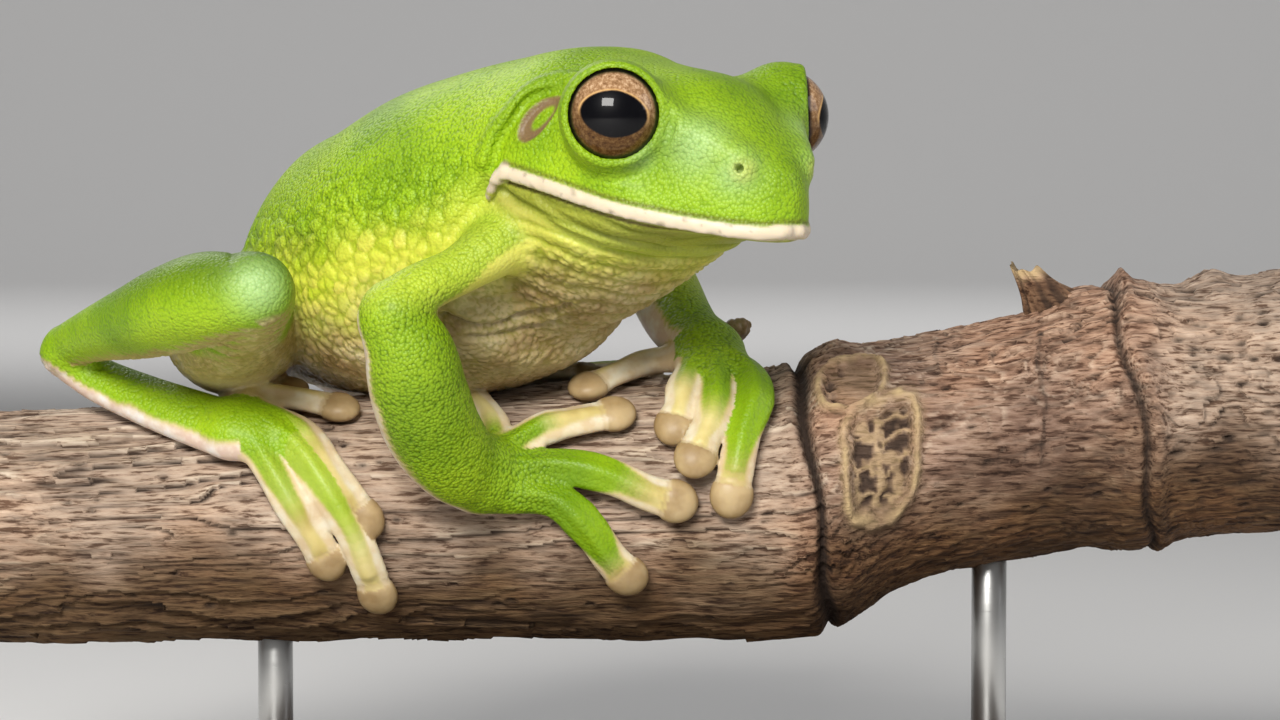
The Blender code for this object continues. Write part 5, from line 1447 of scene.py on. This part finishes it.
def skin_material():
    """Moist skin: lime green above, yellow on the flanks, cream below, white lips and tan toe pads, with
    painted shade under the jaw, in its creases and on the tops of the limbs and head, and a painted sheen
    over bone.
    """
    material, tree, shader = principled(
        "frog_skin", Roughness=0.46, Specular_IOR_Level=0.26, Coat_Weight=0.08, Coat_Roughness=0.28,
        Subsurface_Weight=0.15, Subsurface_Radius=(1.0, 0.6, 0.2), Subsurface_Scale=0.0010,
    )
    cream = ramp(
        tree, cloud(tree, Scale=170.0, Detail=3.0),
        (0.36, (0.40, 0.27, 0.13)), (0.52, (0.55, 0.42, 0.21)), (0.68, (0.64, 0.53, 0.31)),
    )
    gold = laid_over(tree, (0.50, 0.59, 0.028), ("MIX", "tint", (0.70, 0.65, 0.10)))
    lime = ramp(
        tree, cloud(tree, Scale=80.0, Detail=5.0),
        (0.34, (0.155, 0.295, 0.002)), (0.52, (0.24, 0.405, 0.004)), (0.68, (0.31, 0.475, 0.008)),
    )
    # The deep mask lays painted shade over the green on the tops of the limbs and head
    lime = laid_over(tree, lime, ("MULTIPLY", "deep", (0.40, 0.45, 0.40)))
    fringe = ramp(
        tree, cloud(tree, Scale=420.0, Detail=3.0),
        (0.40, (0.60, 0.45, 0.36)), (0.55, (0.70, 0.61, 0.52)), (0.66, (0.74, 0.70, 0.66)),
    )
    tan = ramp(
        tree, cloud(tree, Scale=300.0, Detail=3.0), (0.36, (0.31, 0.21, 0.10)), (0.62, (0.46, 0.34, 0.18)),
    )
    # The pads are a little clear, so they look darker where they turn away
    turning = add_node(tree, "LayerWeight", Blend=0.35).outputs["Facing"]
    tan = laid_over(tree, tan, ("MIX", turning, (0.22, 0.13, 0.045)))
    grain = tree.nodes.new("ShaderNodeGroup")
    grain.node_tree = grain_group()
    grain.inputs["Size"].default_value = 2350.0
    rough = mask(tree, "rough")
    line_shade = maths(tree, "MULTIPLY", 0.70, maths(tree, "POWER", rough, 2.0))
    colour = laid_over(
        tree, cream,
        ("MIX", "yellow", gold),
        ("MIX", "green", lime),
        ("MIX", "pale", fringe),
        ("MIX", "pad", tan),
        ("MULTIPLY", "crease_shade", (0.62, 0.68, 0.36)),
        ("MIX", "drum", (0.17, 0.105, 0.05)),
        ("MIX", "nostril", (0.42, 0.42, 0.04)),
        # Painted highlight: a pale sheen over bone
        ("MIX", "painted_sheen", (0.42, 0.62, 0.34)),
        ("MIX", "white", (0.64, 0.54, 0.40)),
        # Brown lines and flecks, and painted shade under the jaw, in the armpit folds, under the thigh and on
        # the chest
        ("MIX", "brown", (0.075, 0.045, 0.012)),
        # Painted shade darkens the lines between the pimples, and a painted highlight lightens their tops
        ("MULTIPLY", maths(tree, "MULTIPLY", grain.outputs["Lines"], line_shade), (0.60, 0.67, 0.36)),
        ("ADD", maths(tree, "MULTIPLY", grain.outputs["Height"], maths(tree, "MULTIPLY", 0.8, rough)),
         (0.050, 0.055, 0.004)),
    )
    join(tree, shader.inputs["Base Color"], colour)
    bump = add_node(tree, "Bump", Height=grain.outputs["Height"], Strength=rough, Distance=0.00022)
    join(tree, shader.inputs["Normal"], bump.outputs["Normal"])
    return material


skin = mesh_object("frog_skin", points, quads, skin_material())
for name, values in (
    ("green", green), ("yellow", yellow), ("white", white), ("brown", brown), ("pad", pad), ("drum", drum),
    ("pale", limb_pale * limb_share), ("crease_shade", crease_shade), ("painted_sheen", painted_sheen), ("rough", rough), ("tint", tint),
    ("nostril", nostrils), ("deep", painted_top_shade),
):
    store(skin, name, np.clip(values, 0.0, 1.0))
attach(skin, ROOT)
LIMB_NODES = ("upper_arm", "forearm", "hand", "thigh", "shank", "tarsus", "foot")
flesh = ["head", "lower_jaw", "torso"]
for side in ("right", "left"):
    flesh += [f"{name}_{side}" for name in LIMB_NODES]
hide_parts(*flesh)


# The eyes
# Each eye is a wet ball, bronze with a gold-rimmed pupil that lies flat, and sits close in its lids.

PUPIL_HALF_WIDTH, PUPIL_HALF_HEIGHT = 3.85, 2.7


def eye_material():
    """A bronze iris with fine flecks, a dark ring at its edge that is partly its own colour and partly
    painted shade from the lids, and a flat black pupil with a gold rim.
    """
    material, tree, shader = principled(
        "frog_eye", Roughness=0.4, Specular_IOR_Level=0.05,
        Coat_Weight=1.0, Coat_Roughness=0.015, Coat_IOR=1.25,
    )
    bronze = ramp(
        tree, cloud(tree, Scale=2200.0, Detail=6.0, Roughness=0.7),
        (0.32, (0.13, 0.060, 0.024)), (0.50, (0.31, 0.175, 0.085)), (0.68, (0.57, 0.39, 0.24)),
    )
    colour = laid_over(
        tree, bronze,
        ("MULTIPLY", "lower", (0.31, 0.25, 0.14)),
        ("MIX", "rim", (0.55, 0.33, 0.13)),
        ("MIX", "edge", (0.004, 0.003, 0.003)),
        ("MIX", "pupil", (0.0015, 0.0015, 0.0025)),
    )
    join(tree, shader.inputs["Base Color"], colour)
    return material


iris = eye_material()
EYE_SIDES, EYE_LEVELS = 200, 150
levels = np.linspace(0.0, math.pi, EYE_LEVELS)[1:-1]
polar, turn = (values.ravel() for values in np.meshgrid(levels, turns_round(EYE_SIDES), indexing="ij"))
local = np.stack([np.sin(polar) * np.cos(turn), np.sin(polar) * np.sin(turn), np.cos(polar)], axis=1)
for side, name in ((-1, "right"), (1, "left")):
    centre, look, beside, above = eye_frame(side)
    axes = np.stack([beside, above, look])
    rings = (centre + EYE_RADIUS * local @ axes).reshape(EYE_LEVELS - 2, EYE_SIDES, 3)
    front, rear = centre + EYE_RADIUS * look, centre - EYE_RADIUS * look
    eye_points, eye_quads, eye_ends = closed_form(rings, front, rear)
    eye = mesh_object(f"eyeball_{name}", eye_points, [*eye_quads.tolist(), *eye_ends.tolist()], iris)
    wide, tall, deep = ((eye_points - centre) @ axes.T).T
    seen = deep > 0
    slit = np.abs(wide / PUPIL_HALF_WIDTH) ** 1.75 + np.abs(tall / PUPIL_HALF_HEIGHT) ** 2.0
    store(eye, "pupil", (1 - ease(0.95, 1.03, slit)) * seen)
    store(eye, "rim", hump(slit - 1.07, 0.055) * ease(-1.2, 1.0, tall) * seen)
    # The dark ring at the iris's edge is partly its own colour and partly painted shade from the lids
    store(eye, "edge", np.where(seen, ease(4.55, 4.95, np.hypot(wide, tall)), 1.0))
    store(eye, "lower", ease(3.2, -2.2, tall))
    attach(eye, ROOT)
    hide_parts(f"eye_{name}")
